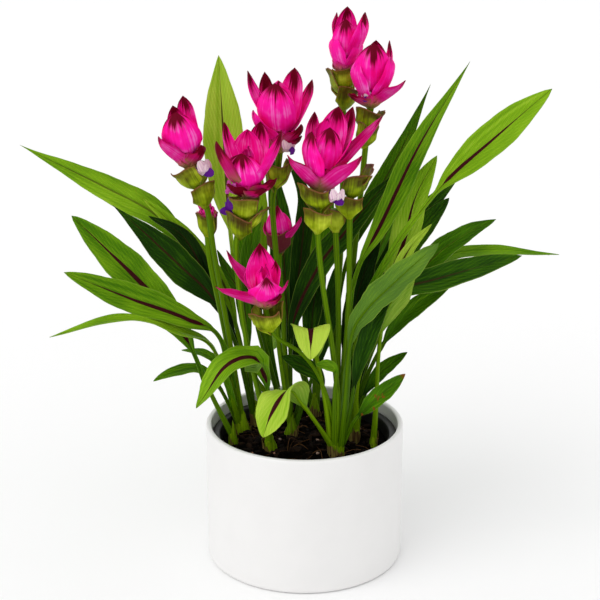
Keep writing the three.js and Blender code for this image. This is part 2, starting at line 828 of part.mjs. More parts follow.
const finish = (color, roughness) => new THREE.MeshStandardMaterial({ color, roughness, metalness: 0 });
const MATERIAL = {
  glaze: finish(COLOUR.glaze, 0.18),
  blackPlastic: finish(COLOUR.blackPlastic, 0.45),
  soil: finish(COLOUR.soil, 0.95),
  leaf: finish(COLOUR.leaf, 0.5),
  pink: finish(COLOUR.pink, 0.55),
};

function piece(name, geometry, material) {
  const mesh = new THREE.Mesh(geometry, material);
  mesh.name = name;
  return mesh;
}

const plant = new THREE.Group();
plant.add(piece("cover_pot", coverPot(), MATERIAL.glaze));
plant.add(piece("nursery_pot", nurseryPot(), MATERIAL.blackPlastic));
plant.add(piece("soil", soil(), MATERIAL.soil));
for (const [name, spec] of Object.entries(SHOOTS)) {
  plant.add(piece(name, shoot(spec), MATERIAL.leaf));
}
for (const [name, spec] of Object.entries(HEADS)) {
  plant.add(piece(name, flowerHead(spec), MATERIAL.pink));
}

export default plant;
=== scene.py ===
"""A potted siam tulip, Curcuma alismatifolia: leafy shoots and pink flower heads in a white glazed pot.

The frame and every finished piece are in metres. The plant's own tables are in millimetres, as they were
measured, so its meshes grow in millimetres and are scaled once, when each is finished.
"""

from __future__ import annotations

import logging
import math
import random
from bisect import bisect_right
from dataclasses import dataclass
from enum import Enum
from typing import Callable, Sequence

import bmesh
import bpy
from mathutils import Matrix, Vector, noise


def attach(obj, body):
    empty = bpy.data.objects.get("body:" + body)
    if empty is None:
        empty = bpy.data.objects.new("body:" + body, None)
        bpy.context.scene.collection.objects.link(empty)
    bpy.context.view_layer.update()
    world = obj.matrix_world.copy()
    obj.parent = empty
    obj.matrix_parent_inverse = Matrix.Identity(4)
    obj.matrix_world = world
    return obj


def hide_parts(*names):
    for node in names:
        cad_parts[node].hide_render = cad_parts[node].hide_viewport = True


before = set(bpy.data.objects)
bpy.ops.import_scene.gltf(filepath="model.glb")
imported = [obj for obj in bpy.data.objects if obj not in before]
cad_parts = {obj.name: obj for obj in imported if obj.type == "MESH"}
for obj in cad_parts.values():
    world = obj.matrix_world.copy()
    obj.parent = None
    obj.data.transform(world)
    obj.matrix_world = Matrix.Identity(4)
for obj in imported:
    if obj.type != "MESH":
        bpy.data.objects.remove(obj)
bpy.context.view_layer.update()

LOG = logging.getLogger("siam_tulip")
MM = 0.001

Point = tuple[float, float, float]
Colour = tuple[float, float, float, float]
Ramp = tuple[tuple[float, str], ...]
Socket = bpy.types.NodeSocket

OBJECT_PLACE = 3  # the Object output of Texture Coordinate
VECTOR = 1  # the Vector output of Attribute
SOFT = {"interpolation_type": "SMOOTHSTEP"}


def linear(code: str) -> Colour:
    """Turns an sRGB hex colour to linear light.

    Args:
        code: Six hex digits, such as "f01f96".

    Returns:
        Red, green, blue and an alpha of one.
    """
    channels = [int(code[k : k + 2], 16) / 255 for k in (0, 2, 4)]
    red, green, blue = (c / 12.92 if c <= 0.04045 else ((c + 0.055) / 1.055) ** 2.4 for c in channels)
    return red, green, blue, 1.0


def ease(place: float) -> float:
    """Goes from 0 to 1 with a soft start and end."""
    clear = min(max(place, 0.0), 1.0)
    return clear * clear * (3 - 2 * clear)


def profile(points: Sequence[tuple[float, float]], place: float) -> float:
    """Reads a line through a few points.

    Args:
        points: Pairs of place and value, in order.
        place: Where to read.

    Returns:
        The value there, smooth through the points.
    """
    last = len(points) - 1
    low = min(max(bisect_right([p[0] for p in points], place) - 1, 0), last - 1)
    (x0, y0), (x1, y1) = points[low], points[low + 1]
    before = points[low - 1] if low else (2 * x0 - x1, 2 * y0 - y1)
    after = points[low + 2] if low + 2 <= last else (2 * x1 - x0, 2 * y1 - y0)
    start = (y1 - before[1]) / (x1 - before[0]) * (x1 - x0)
    end = (after[1] - y0) / (after[0] - x0) * (x1 - x0)
    w = min(max((place - x0) / (x1 - x0), 0.0), 1.0)
    return y0 + w * (start + w * (3 * (y1 - y0) - 2 * start - end + w * (2 * (y0 - y1) + start + end)))


# Finishes


class Paint:
    """One material's node tree, with the marks that a plant's points carry."""

    MARKS = {
        "blade": ("across", "along", "seed"),
        "reach": ("across_mm", "along_mm", "half_mm"),
        "looks": ("first", "second", "third"),
    }

    def __init__(self, name: str) -> None:
        """Makes an empty material.

        Args:
            name: The material's name.
        """
        self.material = bpy.data.materials.new(name)
        self.material.use_nodes = True
        self.tree = self.material.node_tree
        self.tree.nodes.clear()

    def add(
        self,
        kind: str,
        *inputs: object,
        named: dict[str, object] | None = None,
        stops: Ramp = (),
        output: int = 0,
        **settings: object,
    ) -> Socket | None:
        """Adds a node with its settings and links.

        Args:
            kind: The node's type, less its "ShaderNode".
            *inputs: A value, a hex colour or the output that feeds it, for each socket in order.
            named: The same for sockets by name.
            stops: Places and hex colours, for a node with a colour ramp.
            output: Which of its outputs is wanted.
            **settings: The node's own properties.

        Returns:
            The wanted output, or nothing from a node without one.
        """
        node = self.tree.nodes.new(f"ShaderNode{kind}")
        for name, value in settings.items():
            setattr(node, name, value)
        if stops:
            colours = node.color_ramp.elements
            colours.remove(colours[1])
            colours[0].position, colours[0].color = stops[0][0], linear(stops[0][1])
            for place, code in stops[1:]:
                colours.new(place).color = linear(code)
        for name, value in (*enumerate(inputs), *(named or {}).items()):
            if isinstance(value, Socket):
                self.tree.links.new(value, node.inputs[name])
            else:
                node.inputs[name].default_value = linear(value) if isinstance(value, str) else value
        return node.outputs[output] if node.outputs else None

    def marks(self) -> dict[str, Socket]:
        """Reads what a plant's points carry: places along and across a strip, sizes in mm, and looks.

        The points of a strip's under face carry a seed that is one higher, from which "under" is read.

        Returns:
            Each mark's output by its name.
        """
        found = {}
        for attribute, parts in self.MARKS.items():
            source = self.add("Attribute", attribute_name=attribute, output=VECTOR)
            split = self.add("SeparateXYZ", source).node
            found.update(zip(parts, split.outputs))
        found["under"] = self.add("Math", found["seed"], 1.0, operation="GREATER_THAN")
        found["seed"] = self.add("Math", found["seed"], operation="FRACT")
        for part in ("across", "across_mm"):
            found[f"{part}_size"] = self.add("Math", found[part], operation="ABSOLUTE")
        return found

    def streaks(self, marks: dict[str, Socket], across: float, along: float, fine: float = 3.0) -> Socket:
        """Adds uneven streaks that run along a strip.

        Args:
            marks: The piece's marks.
            across: Streaks over the strip's half width.
            along: Streaks from end to end.
            fine: Finer layers in them.

        Returns:
            The streaks' strength, 0.5 on average.
        """
        scales = {"across": across, "along": along, "seed": 61.0}
        parts = [self.add("Math", marks[part], count, operation="MULTIPLY") for part, count in scales.items()]
        place = self.add("CombineXYZ", *parts)
        return self.add("TexNoise", named={"Vector": place, "Scale": 1.0, "Detail": fine, "Roughness": 0.55})

    def close(self, shader: Socket) -> bpy.types.Material:
        """Leads a shader to the surface and gives the finished material."""
        self.add("OutputMaterial", shader)
        return self.material


@dataclass(frozen=True)
class GlazedStoneware:
    """Slip-cast stoneware under a white satin glaze: broad soft highlights and a barely uneven surface."""

    white: str = "ebeae9"
    shaded: str = "e9e8e7"
    ripple_mm: float = 22.0

    def material(self) -> bpy.types.Material:
        """Builds the material.

        Returns:
            The finished material.
        """
        paint = Paint("white_satin_glaze")
        place = paint.add("TexCoord", output=OBJECT_PLACE)
        cloud = paint.add(
            "TexNoise", named={"Vector": place, "Scale": 1 / (self.ripple_mm * MM), "Detail": 2.0}
        )
        patch = paint.add("MapRange", cloud, 0.3, 0.75, **SOFT)
        colour = paint.add("MixRGB", patch, self.white, self.shaded)
        shader = paint.add(
            "BsdfPrincipled",
            named={
                "Base Color": colour,
                "Roughness": paint.add("MapRange", named={"Value": cloud, "To Min": 0.32, "To Max": 0.38}),
                "Normal": paint.add("Bump", named={"Height": cloud, "Distance": 0.01 * MM, "Strength": 0.15}),
                "IOR": 1.5,
                "Coat Weight": 0.15,
            },
        )
        return paint.close(shader)


@dataclass(frozen=True)
class MouldedPolypropylene:
    """Injection-moulded black polypropylene: dull black with a fine grain and some dust of the soil."""

    black: str = "0b0b0a"
    dusty: str = "231f1a"
    grain_mm: float = 1.6
    dust_mm: float = 14.0

    def material(self) -> bpy.types.Material:
        """Builds the material.

        Returns:
            The finished material.
        """
        paint = Paint("black_polypropylene")
        place = paint.add("TexCoord", output=OBJECT_PLACE)
        grain = paint.add(
            "TexNoise", named={"Vector": place, "Scale": 1 / (self.grain_mm * MM), "Detail": 4.0}
        )
        dust = paint.add("TexNoise", named={"Vector": place, "Scale": 1 / (self.dust_mm * MM), "Detail": 5.0})
        dusted = paint.add("MapRange", dust, 0.5, 0.72, **SOFT)
        colour = paint.add("MixRGB", dusted, self.black, self.dusty)
        shader = paint.add(
            "BsdfPrincipled",
            named={
                "Base Color": colour,
                "Roughness": paint.add("MapRange", named={"Value": dust, "To Min": 0.34, "To Max": 0.6}),
                "Normal": paint.add("Bump", named={"Height": grain, "Distance": 0.12 * MM, "Strength": 0.5}),
            },
        )
        return paint.close(shader)


@dataclass(frozen=True)
class PottingMix:
    """Damp peat and composted bark: nearly black crumbs with brown ones among them."""

    wet: str = "020100"
    crumb: str = "140c06"
    crumb_mm: float = 3.4

    def material(self) -> bpy.types.Material:
        """Builds the material.

        Returns:
            The finished material.
        """
        paint = Paint("damp_potting_mix")
        place = paint.add("TexCoord", output=OBJECT_PLACE)
        fine = paint.add(
            "TexNoise", named={"Vector": place, "Scale": 1 / (self.crumb_mm * MM), "Detail": 6.0}
        )
        cells = paint.add("TexVoronoi", named={"Vector": place, "Scale": 1 / (self.crumb_mm * MM)})
        height = paint.add("Math", fine, cells, operation="ADD")
        brown = paint.add("MapRange", fine, 0.45, 0.75, **SOFT)
        shader = paint.add(
            "BsdfPrincipled",
            named={
                "Base Color": paint.add("MixRGB", brown, self.wet, self.crumb),
                "Roughness": 0.9,
                "Specular IOR Level": 0.03,
                "Normal": paint.add("Bump", named={"Height": height, "Distance": 1.2 * MM, "Strength": 0.9}),
            },
        )
        return paint.close(shader)


@dataclass(frozen=True)
class Litter:
    """Loose bits on the soil: bark, roots or perlite, each bit its own shade from dark to light."""

    name: str
    dark: str
    light: str
    grain_mm: float = 1.5

    def material(self) -> bpy.types.Material:
        """Builds the material.

        Returns:
            The finished material.
        """
        paint = Paint(self.name)
        marks = paint.marks()
        place = paint.add("TexCoord", output=OBJECT_PLACE)
        grain = paint.add("TexNoise", named={"Vector": place, "Scale": 1 / (self.grain_mm * MM)})
        shade = paint.add("Math", grain, 0.5, marks["seed"], operation="MULTIPLY_ADD")
        shade = paint.add("Math", shade, 0.25, operation="SUBTRACT")
        colour = paint.add("MixRGB", shade, self.dark, self.light)
        shader = paint.add(
            "BsdfPrincipled",
            named={
                "Base Color": colour,
                "Roughness": 0.85,
                "Specular IOR Level": 0.1,
                "Normal": paint.add("Bump", named={"Height": grain, "Distance": 0.3 * MM, "Strength": 0.8}),
            },
        )
        return paint.close(shader)


@dataclass(frozen=True)
class LeafBlade:
    """A living leaf: satin green, brighter or darker from leaf to leaf, with parallel veins that leave the
    midrib at a low slant, a maroon flame along the midrib and a paler margin. Its under side is duller and
    greyer, without the flame. Its looks are shade, stripe and age. A dark shade is partly the leaf's own
    green and partly painted shade for a leaf deep inside the plant, and each blade is darker towards its
    foot, again partly painted shade. Light passes through it a little."""

    # The darkest greens serve the leaves deep inside the plant, partly as painted shade.
    greens: Ramp = (
        (0.0, "b3cf46"),
        (0.25, "7fac16"),
        (0.5, "447402"),
        (0.75, "1a3d00"),
        (1.0, "051500"),
    )
    waxy: str = "64803c"
    maroon: str = "38080f"
    margin: str = "a6c04e"
    dry: str = "7a4316"
    vein_mm: float = 2.1
    vein_slant: float = 0.24
    vein_strength: float = -0.055
    flame_mm: float = 1.1
    cloud_mm: float = 32.0
    speck_mm: float = 5.0

    def material(self) -> bpy.types.Material:
        """Builds the material.

        Returns:
            The finished material.
        """
        paint = Paint("living_leaf_blade")
        marks = paint.marks()
        streak = paint.streaks(marks, 5.0, 1.6)
        place = paint.add("TexCoord", output=OBJECT_PLACE)
        cloud = paint.add("TexNoise", named={"Vector": place, "Scale": 1 / (self.cloud_mm * MM)})
        cloud = paint.add("Math", cloud, 0.36, operation="MULTIPLY")
        uneven = paint.add("Math", streak, 0.42, cloud, operation="MULTIPLY_ADD")
        # The blade is darker towards its foot: partly its own green, partly painted shade deep inside the
        # plant.
        low = paint.add(
            "MapRange", named={"Value": marks["along"], "From Max": 0.35, "To Min": -0.19, "To Max": -0.39}
        )
        slant = paint.add(
            "Math", marks["along_mm"], -self.vein_slant, marks["across_mm_size"], operation="MULTIPLY_ADD"
        )
        wave = paint.add("Math", slant, math.tau / self.vein_mm, operation="MULTIPLY")
        wave = paint.add("Math", wave, operation="SINE")
        vein = paint.add("MapRange", wave, 0.2, 1.0, **SOFT)
        shade = paint.add("Math", uneven, low, operation="ADD")
        shade = paint.add("Math", shade, marks["first"], operation="ADD")
        shade = paint.add("Math", vein, self.vein_strength, shade, operation="MULTIPLY_ADD")
        colour = paint.add("ValToRGB", shade, stops=self.greens)
        greyer = paint.add("Math", marks["under"], 0.4, operation="MULTIPLY")
        colour = paint.add("MixRGB", greyer, colour, self.waxy)
        edge = paint.add("MapRange", marks["across_size"], 0.92, 1.0, **SOFT)
        colour = paint.add("MixRGB", paint.add("Math", edge, 0.3, operation="MULTIPLY"), colour, self.margin)
        colour = self._flame(paint, marks, colour)
        tip = paint.add("MapRange", marks["along"], 0.9, 0.97, **SOFT)
        speck = paint.add("TexNoise", named={"Vector": place, "Scale": 1 / (self.speck_mm * MM)})
        worn = paint.add("Math", tip, paint.add("MapRange", speck, 0.62, 0.7, **SOFT), operation="MAXIMUM")
        aged = paint.add("Math", marks["third"], worn, operation="MULTIPLY")
        colour = paint.add("MixRGB", aged, colour, self.dry)
        ribs = paint.add("Math", vein, 0.5, operation="MULTIPLY")
        height = paint.add("Math", streak, 1.5, ribs, operation="MULTIPLY_ADD")
        shader = paint.add(
            "BsdfPrincipled",
            named={
                "Base Color": colour,
                "Roughness": paint.add("MapRange", named={"Value": streak, "To Min": 0.34, "To Max": 0.48}),
                "Normal": paint.add("Bump", named={"Height": height, "Distance": 0.5 * MM, "Strength": 0.7}),
                "Specular IOR Level": 0.06,
                "Subsurface Weight": 0.06,
                "Subsurface Radius": (0.6, 1.0, 0.1),
                "Subsurface Scale": 0.8 * MM,
            },
        )
        return paint.close(shader)

    def _flame(self, paint: Paint, marks: dict[str, Socket], colour: Socket) -> Socket:
        """Lays the ragged maroon flame along the midrib, as strong and as broad as the second look.

        Args:
            paint: The material's node tree.
            marks: The leaf's marks.
            colour: The colour under it.

        Returns:
            The colour with the flame on it.
        """
        feather = paint.streaks(marks, 12.0, 4.0, 2.0)
        grow = paint.add("MapRange", marks["half_mm"], 2.6, 5.5, **SOFT)
        fade = paint.add("MapRange", marks["along"], 0.93, 0.55, **SOFT)
        full = paint.add("Math", grow, fade, operation="MULTIPLY")
        broad = paint.add("Math", marks["second"], self.flame_mm, operation="MULTIPLY")
        width = paint.add("Math", full, broad, operation="MULTIPLY")
        jag = paint.add("Math", feather, 0.5, operation="SUBTRACT")
        jag = paint.add("Math", jag, width, operation="ADD")
        outer = paint.add("Math", jag, 0.25, operation="ADD")
        inner = paint.add("Math", jag, 0.2, operation="SUBTRACT")
        stripe = paint.add("MapRange", marks["across_mm_size"], outer, inner, **SOFT)
        upper = paint.add("Math", 1.0, marks["under"], operation="SUBTRACT")
        stripe = paint.add("Math", stripe, upper, operation="MULTIPLY")
        strength = paint.add("Math", stripe, marks["second"], operation="MULTIPLY")
        return paint.add("MixRGB", strength, colour, self.maroon)


@dataclass(frozen=True)
class Stalk:
    """A fleshy stalk: yellow-green with fine lengthwise lines, browner at its foot. Its looks are shade and
    brownness."""

    greens: Ramp = ((0.0, "b4cf3e"), (0.4, "7ba004"), (0.75, "426600"), (1.0, "1e3c00"))
    brown: str = "5c3c1c"

    def material(self) -> bpy.types.Material:
        """Builds the material.

        Returns:
            The finished material.
        """
        paint = Paint("fleshy_green_stalk")
        marks = paint.marks()
        lines = paint.streaks(marks, 9.0, 1.5)
        shade = paint.add("Math", lines, 0.5, operation="SUBTRACT")
        shade = paint.add("Math", shade, 0.6, marks["first"], operation="MULTIPLY_ADD")
        colour = paint.add("ValToRGB", shade, stops=self.greens)
        blot = paint.add("MapRange", lines, 0.45, 0.65, **SOFT)
        blot = paint.add("Math", blot, marks["second"], operation="MULTIPLY")
        colour = paint.add("MixRGB", blot, colour, self.brown)
        shader = paint.add(
            "BsdfPrincipled",
            named={
                "Base Color": colour,
                "Roughness": 0.42,
                "Normal": paint.add("Bump", named={"Height": lines, "Distance": 0.35 * MM, "Strength": 0.7}),
                "Specular IOR Level": 0.06,
                "Subsurface Weight": 0.06,
                "Subsurface Radius": (0.6, 1.0, 0.15),
                "Subsurface Scale": 1.2 * MM,
            },
        )
        return paint.close(shader)


@dataclass(frozen=True)
class CupBract:
    """A green pouch-shaped bract: yellow-green, darker between its veins, with a brown-maroon rim. Its looks
    are shade and how far the maroon runs down."""

    greens: Ramp = (
        (0.0, "c6d43a"),
        (0.35, "8fa40c"),
        (0.7, "4c5c02"),
        (1.0, "1a2200"),
    )
    rim: str = "8a5638"
    brown: str = "46200e"
    cloud_mm: float = 9.0
    maroon: str = "6b0f30"

    def material(self) -> bpy.types.Material:
        """Builds the material.

        Returns:
            The finished material.
        """
        paint = Paint("green_cup_bract")
        marks = paint.marks()
        veins = paint.streaks(marks, 11.0, 0.7)
        place = paint.add("TexCoord", output=OBJECT_PLACE)
        cloud = paint.add("TexNoise", named={"Vector": place, "Scale": 1 / (self.cloud_mm * MM)})
        cloudy = paint.add("Math", cloud, 0.5, operation="SUBTRACT")
        cloudy = paint.add("Math", cloudy, 1.1, operation="MULTIPLY")
        uneven = paint.add("Math", veins, 0.5, operation="SUBTRACT")
        uneven = paint.add("Math", uneven, 0.5, cloudy, operation="MULTIPLY_ADD")
        own = paint.add("Math", marks["seed"], 0.3, marks["first"], operation="MULTIPLY_ADD")
        own = paint.add("Math", own, 0.15, operation="SUBTRACT")
        shade = paint.add("Math", uneven, own, operation="ADD")
        colour = paint.add("ValToRGB", shade, stops=self.greens)
        drift = paint.add("Math", uneven, 0.5, marks["along"], operation="MULTIPLY_ADD")
        dusk = paint.add("MapRange", drift, 0.5, 1.0, **SOFT)
        dusk = paint.add("Math", dusk, 0.75, operation="MULTIPLY")
        colour = paint.add("MixRGB", dusk, colour, self.brown)
        down = paint.add("Math", 1.0, marks["second"], operation="SUBTRACT")
        full = paint.add("Math", down, 0.35, operation="ADD")
        tinge = paint.add("MapRange", drift, down, full, **SOFT)
        tinge = paint.add("Math", tinge, 0.85, operation="MULTIPLY")
        colour = paint.add("MixRGB", tinge, colour, self.maroon)
        side = paint.add("MapRange", marks["across_size"], 0.93, 0.98, **SOFT)
        top = paint.add("MapRange", marks["along"], 0.96, 0.99, **SOFT)
        edge = paint.add("Math", top, side, operation="MAXIMUM")
        edge = paint.add("Math", edge, 0.75, operation="MULTIPLY")
        colour = paint.add("MixRGB", edge, colour, self.rim)
        shader = paint.add(
            "BsdfPrincipled",
            named={
                "Base Color": colour,
                "Roughness": 0.45,
                "Normal": paint.add("Bump", named={"Height": veins, "Distance": 0.6 * MM, "Strength": 0.8}),
                "Specular IOR Level": 0.08,
                "Subsurface Weight": 0.08,
                "Subsurface Radius": (0.7, 1.0, 0.15),
                "Subsurface Scale": 1.2 * MM,
            },
        )
        return paint.close(shader)


@dataclass(frozen=True)
class PinkBract:
    """A petal-like bract: hot pink with fine darker lines, broad patches of painted highlight and painted
    shade, a flame of maroon down from its tip, and a greenish foot. Its looks are the flame's length,
    dullness and the green at its foot."""

    # The palest pink is painted highlight; the deepest is partly the fine lines, partly painted shade.
    pinks_with_painted_light: Ramp = ((0.32, "ff7ad2"), (0.47, "ff1aa8"), (0.66, "f60080"))
    maroon: str = "5e0015"
    crimson: str = "b0063f"
    dull: str = "980a44"
    foot: str = "8c9a24"
    cloud_mm: float = 11.0

    def material(self) -> bpy.types.Material:
        """Builds the material.

        Returns:
            The finished material.
        """
        paint = Paint("pink_petal_bract")
        marks = paint.marks()
        lines = paint.streaks(marks, 13.0, 0.7)
        place = paint.add("TexCoord", output=OBJECT_PLACE)
        # Painted light: broad soft patches of pale pink highlight and darker pink shade, strewn at random
        # over the fine lines.
        cloud = paint.add("TexNoise", named={"Vector": place, "Scale": 1 / (self.cloud_mm * MM)})
        cloud = paint.add("Math", cloud, 0.55, operation="MULTIPLY")
        calm = paint.add("Math", lines, 0.45, cloud, operation="MULTIPLY_ADD")
        colour = paint.add("ValToRGB", calm, stops=self.pinks_with_painted_light)
        patchy = paint.add("MapRange", named={"Value": lines, "To Min": 0.5, "To Max": 1.0})
        edge = paint.add("MapRange", marks["across_size"], 0.3, 1.05, **SOFT)
        rise = paint.add("Math", edge, patchy, operation="MAXIMUM")
        rise = paint.add("Math", rise, marks["second"], operation="MULTIPLY")
        colour = paint.add("MixRGB", rise, colour, self.dull)
        colour = self._flame(paint, marks, colour)
        low = paint.add("MapRange", marks["along"], marks["third"], 0.0, **SOFT)
        low = paint.add("Math", low, 0.85, operation="MULTIPLY")
        colour = paint.add("MixRGB", low, colour, self.foot)
        shader = paint.add(
            "BsdfPrincipled",
            named={
                "Base Color": colour,
                "Roughness": 0.5,
                "Normal": paint.add("Bump", named={"Height": lines, "Distance": 0.3 * MM, "Strength": 0.6}),
                "Specular IOR Level": 0.04,
                "Subsurface Weight": 0.1,
                "Subsurface Radius": (1.0, 0.15, 0.5),
                "Subsurface Scale": 1.4 * MM,
            },
        )
        return paint.close(shader)

    def _flame(self, paint: Paint, marks: dict[str, Socket], colour: Socket) -> Socket:
        """Lays the feathered maroon flame down from the tip, as long as the first look.

        Args:
            paint: The material's node tree.
            marks: The bract's marks.
            colour: The colour under it.

        Returns:
            The colour with the flame on it.
        """
        feather = paint.streaks(marks, 7.0, 0.5, 2.0)
        wide = paint.add("Math", marks["across_size"], 1.6, operation="POWER")
        reach = paint.add("Math", wide, -0.25, marks["along"], operation="MULTIPLY_ADD")
        jag = paint.add("Math", feather, 0.5, operation="SUBTRACT")
        jag = paint.add("Math", jag, 0.5, reach, operation="MULTIPLY_ADD")
        rim = paint.add("Math", marks["across_size"], 7.0, operation="POWER")
        jag = paint.add("Math", rim, 0.16, jag, operation="MULTIPLY_ADD")
        start = paint.add("Math", 1.0, marks["first"], operation="SUBTRACT")
        before = paint.add("Math", start, 0.1, operation="SUBTRACT")
        middle = paint.add("Math", start, 0.02, operation="ADD")
        after = paint.add("Math", start, 0.12, operation="ADD")
        halo = paint.add("MapRange", jag, before, after, **SOFT)
        halo = paint.add("Math", halo, 0.85, operation="MULTIPLY")
        core = paint.add("MapRange", jag, middle, after, **SOFT)
        core = paint.add("Math", core, 0.95, operation="MULTIPLY")
        colour = paint.add("MixRGB", halo, colour, self.crimson)
        return paint.add("MixRGB", core, colour, self.maroon)


@dataclass(frozen=True)
class TrueFlower:
    """A thin true petal: lilac white, with violet that grows towards its tip by its first look, and as much
    magenta as its second."""

    white: str = "f3dcdf"
    lilac: str = "cf9cc4"
    violet: str = "55127c"
    magenta: str = "b5188c"

    def material(self) -> bpy.types.Material:
        """Builds the material.

        Returns:
            The finished material.
        """
        paint = Paint("thin_true_petal")
        marks = paint.marks()
        lines = paint.streaks(marks, 5.0, 1.0)
        line = paint.add("MapRange", lines, 0.4, 0.7, **SOFT)
        colour = paint.add("MixRGB", line, self.white, self.lilac)
        colour = paint.add("MixRGB", marks["second"], colour, self.magenta)
        start = paint.add("Math", 1.0, marks["first"], operation="SUBTRACT")
        full = paint.add("Math", start, 0.3, operation="ADD")
        drift = paint.add("Math", lines, 0.5, operation="SUBTRACT")
        drift = paint.add("Math", drift, 0.3, marks["along"], operation="MULTIPLY_ADD")
        tip = paint.add("MapRange", drift, start, full, **SOFT)
        shader = paint.add(
            "BsdfPrincipled",
            named={
                "Base Color": paint.add("MixRGB", tip, colour, self.violet),
                "Roughness": 0.5,
                "Specular IOR Level": 0.08,
                "Subsurface Weight": 0.25,
                "Subsurface Radius": (1.0, 0.8, 1.0),
                "Subsurface Scale": 1.0 * MM,
            },
        )
        return paint.close(shader)


@dataclass(frozen=True)
class Papery:
    """A dead leaf sheath: dry brown paper with lengthwise fibres, lighter in places."""

    brown: str = "4a3316"
    pale: str = "857a3a"

    def material(self) -> bpy.types.Material:
        """Builds the material.

        Returns:
            The finished material.
        """
        paint = Paint("papery_brown_sheath")
        fibres = paint.streaks(paint.marks(), 10.0, 1.0)
        light = paint.add("MapRange", fibres, 0.4, 0.65, **SOFT)
        shader = paint.add(
            "BsdfPrincipled",
            named={
                "Base Color": paint.add("MixRGB", light, self.brown, self.pale),
                "Roughness": 0.7,
                "Specular IOR Level": 0.2,
                "Normal": paint.add("Bump", named={"Height": fibres, "Distance": 0.4 * MM, "Strength": 0.8}),
            },
        )
        return paint.close(shader)


@dataclass(frozen=True)
class StudioPaper:
    """Seamless white paper: even, matt and bright."""

    white: str = "f8f8f8"

    def material(self) -> bpy.types.Material:
        """Builds the material.

        Returns:
            The finished material.
        """
        paint = Paint("white_studio_paper")
        shader = paint.add(
            "BsdfPrincipled", named={"Base Color": self.white, "Roughness": 0.9, "Specular IOR Level": 0.1}
        )
        return paint.close(shader)


@dataclass(frozen=True)
class Wardrobe:
    """Every finish, built once, in the order in which the pieces number them."""

    glaze: bpy.types.Material
    plastic: bpy.types.Material
    soil: bpy.types.Material
    litter: tuple[bpy.types.Material, ...]
    shoot: tuple[bpy.types.Material, ...]
    head: tuple[bpy.types.Material, ...]

    @classmethod
    def cut(cls) -> Wardrobe:
        """Builds every finish.

        Returns:
            The whole set.
        """
        bark = Litter("composted_bark", "060301", "21140a")
        roots = Litter("dry_rootlets", "22140a", "6a4a2a")
        grains = Litter("clay_and_perlite", "8a4a24", "c9c2b4")
        return cls(
            glaze=GlazedStoneware().material(),
            plastic=MouldedPolypropylene().material(),
            soil=PottingMix().material(),
            litter=(bark.material(), roots.material(), grains.material()),
            shoot=(LeafBlade().material(), Stalk().material(), CupBract().material(), Papery().material()),
            head=(PinkBract().material(), TrueFlower().material()),
        )


def declare(piece: bpy.types.Object, node: str) -> bpy.types.Object:
    """Tells the frame what a piece is.

    Args:
        piece: The finished piece, which rides on the pot's body.
        node: The CAD node that it takes the place of.

    Returns:
        The same piece.
    """
    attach(piece, "root")
    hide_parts(node)
    return piece


# Growing strips and tubes


@dataclass(frozen=True)
class Station:
    """A place on a route: its centre and the directions along, aside and out of the upper face."""

    centre: Vector
    along: Vector
    side: Vector
    normal: Vector

    def around(self, turn: float, wide: float) -> Vector:
        """Gives the point at a turn round the centre, in radians, and that far from it."""
        return self.centre + self.side * (wide * math.cos(turn)) + self.normal * (wide * math.sin(turn))


class Route:
    """A smooth centre line through given points, walked by its own length."""

    STEPS = 160
    NEAR = 1e-3

    def __init__(self, points: Sequence[Point], faces: Sequence[Point]) -> None:
        """Measures the line.

        Args:
            points: Where it passes, in millimetres.
            faces: The way that the upper face looks, spread along it.
        """
        self.points = [Vector(point) for point in points]
        self.faces = [Vector(face) for face in faces]
        marks = [self._spline(k / self.STEPS) for k in range(self.STEPS + 1)]
        self.lengths = [0.0]
        for near, far in zip(marks, marks[1:]):
            self.lengths.append(self.lengths[-1] + (far - near).length)
        self.length = self.lengths[-1]
        self.known: dict[float, Station] = {}

    def _spline(self, share: float) -> Vector:
        """Gives a point of the smooth line.

        Args:
            share: How far along it is, by the points' own count, from 0 to 1.

        Returns:
            The point.
        """
        last = len(self.points) - 1
        low = min(int(share * last), last - 1)
        w = share * last - low
        here, there = self.points[low], self.points[low + 1]
        before = self.points[low - 1] if low else 2 * here - there
        after = self.points[low + 2] if low + 2 <= last else 2 * there - here
        start, end = (there - before) / 2, (after - here) / 2
        bend = 3 * (there - here) - 2 * start - end
        turn = 2 * (here - there) + start + end
        return here + w * (start + w * (bend + w * turn))

    def _share(self, u: float) -> float:
        """Turns a share of the length to the spline's own.

        Args:
            u: The share of the length; outside 0 to 1 it is brought to the nearer end.

        Returns:
            The share by the points' own count.
        """
        target = min(max(u, 0.0), 1.0) * self.length
        k = min(max(bisect_right(self.lengths, target) - 1, 0), self.STEPS - 1)
        step = self.lengths[k + 1] - self.lengths[k]
        return (k + (target - self.lengths[k]) / step) / self.STEPS

    def station(self, u: float) -> Station:
        """Gives the place at a share of the length.

        Args:
            u: The share, from 0 to 1.

        Returns:
            The station there, the same one each time that it is asked for.
        """
        key = round(u, 5)
        if key not in self.known:
            share, small = self._share(u), self.NEAR
            along = self._spline(min(share + small, 1.0)) - self._spline(max(share - small, 0.0))
            along.normalize()
            last = len(self.faces) - 1
            place = min(max(u, 0.0), 1.0) * last
            low = max(0, min(int(place), last - 1))
            face = self.faces[low].lerp(self.faces[min(low + 1, last)], place - low)
            side = along.cross(face).normalized()
            self.known[key] = Station(self._spline(share), along, side, side.cross(along))
        return self.known[key]


@dataclass(frozen=True)
class Spot:
    """Where a strip's point goes: its position, its place from the midrib and the half width, in mm."""

    position: Vector
    aside: float
    half: float


# Where the point of a strip goes that is across it from -1 to 1, and along it from 0 to 1.
Bend = Callable[[float, float], Spot]


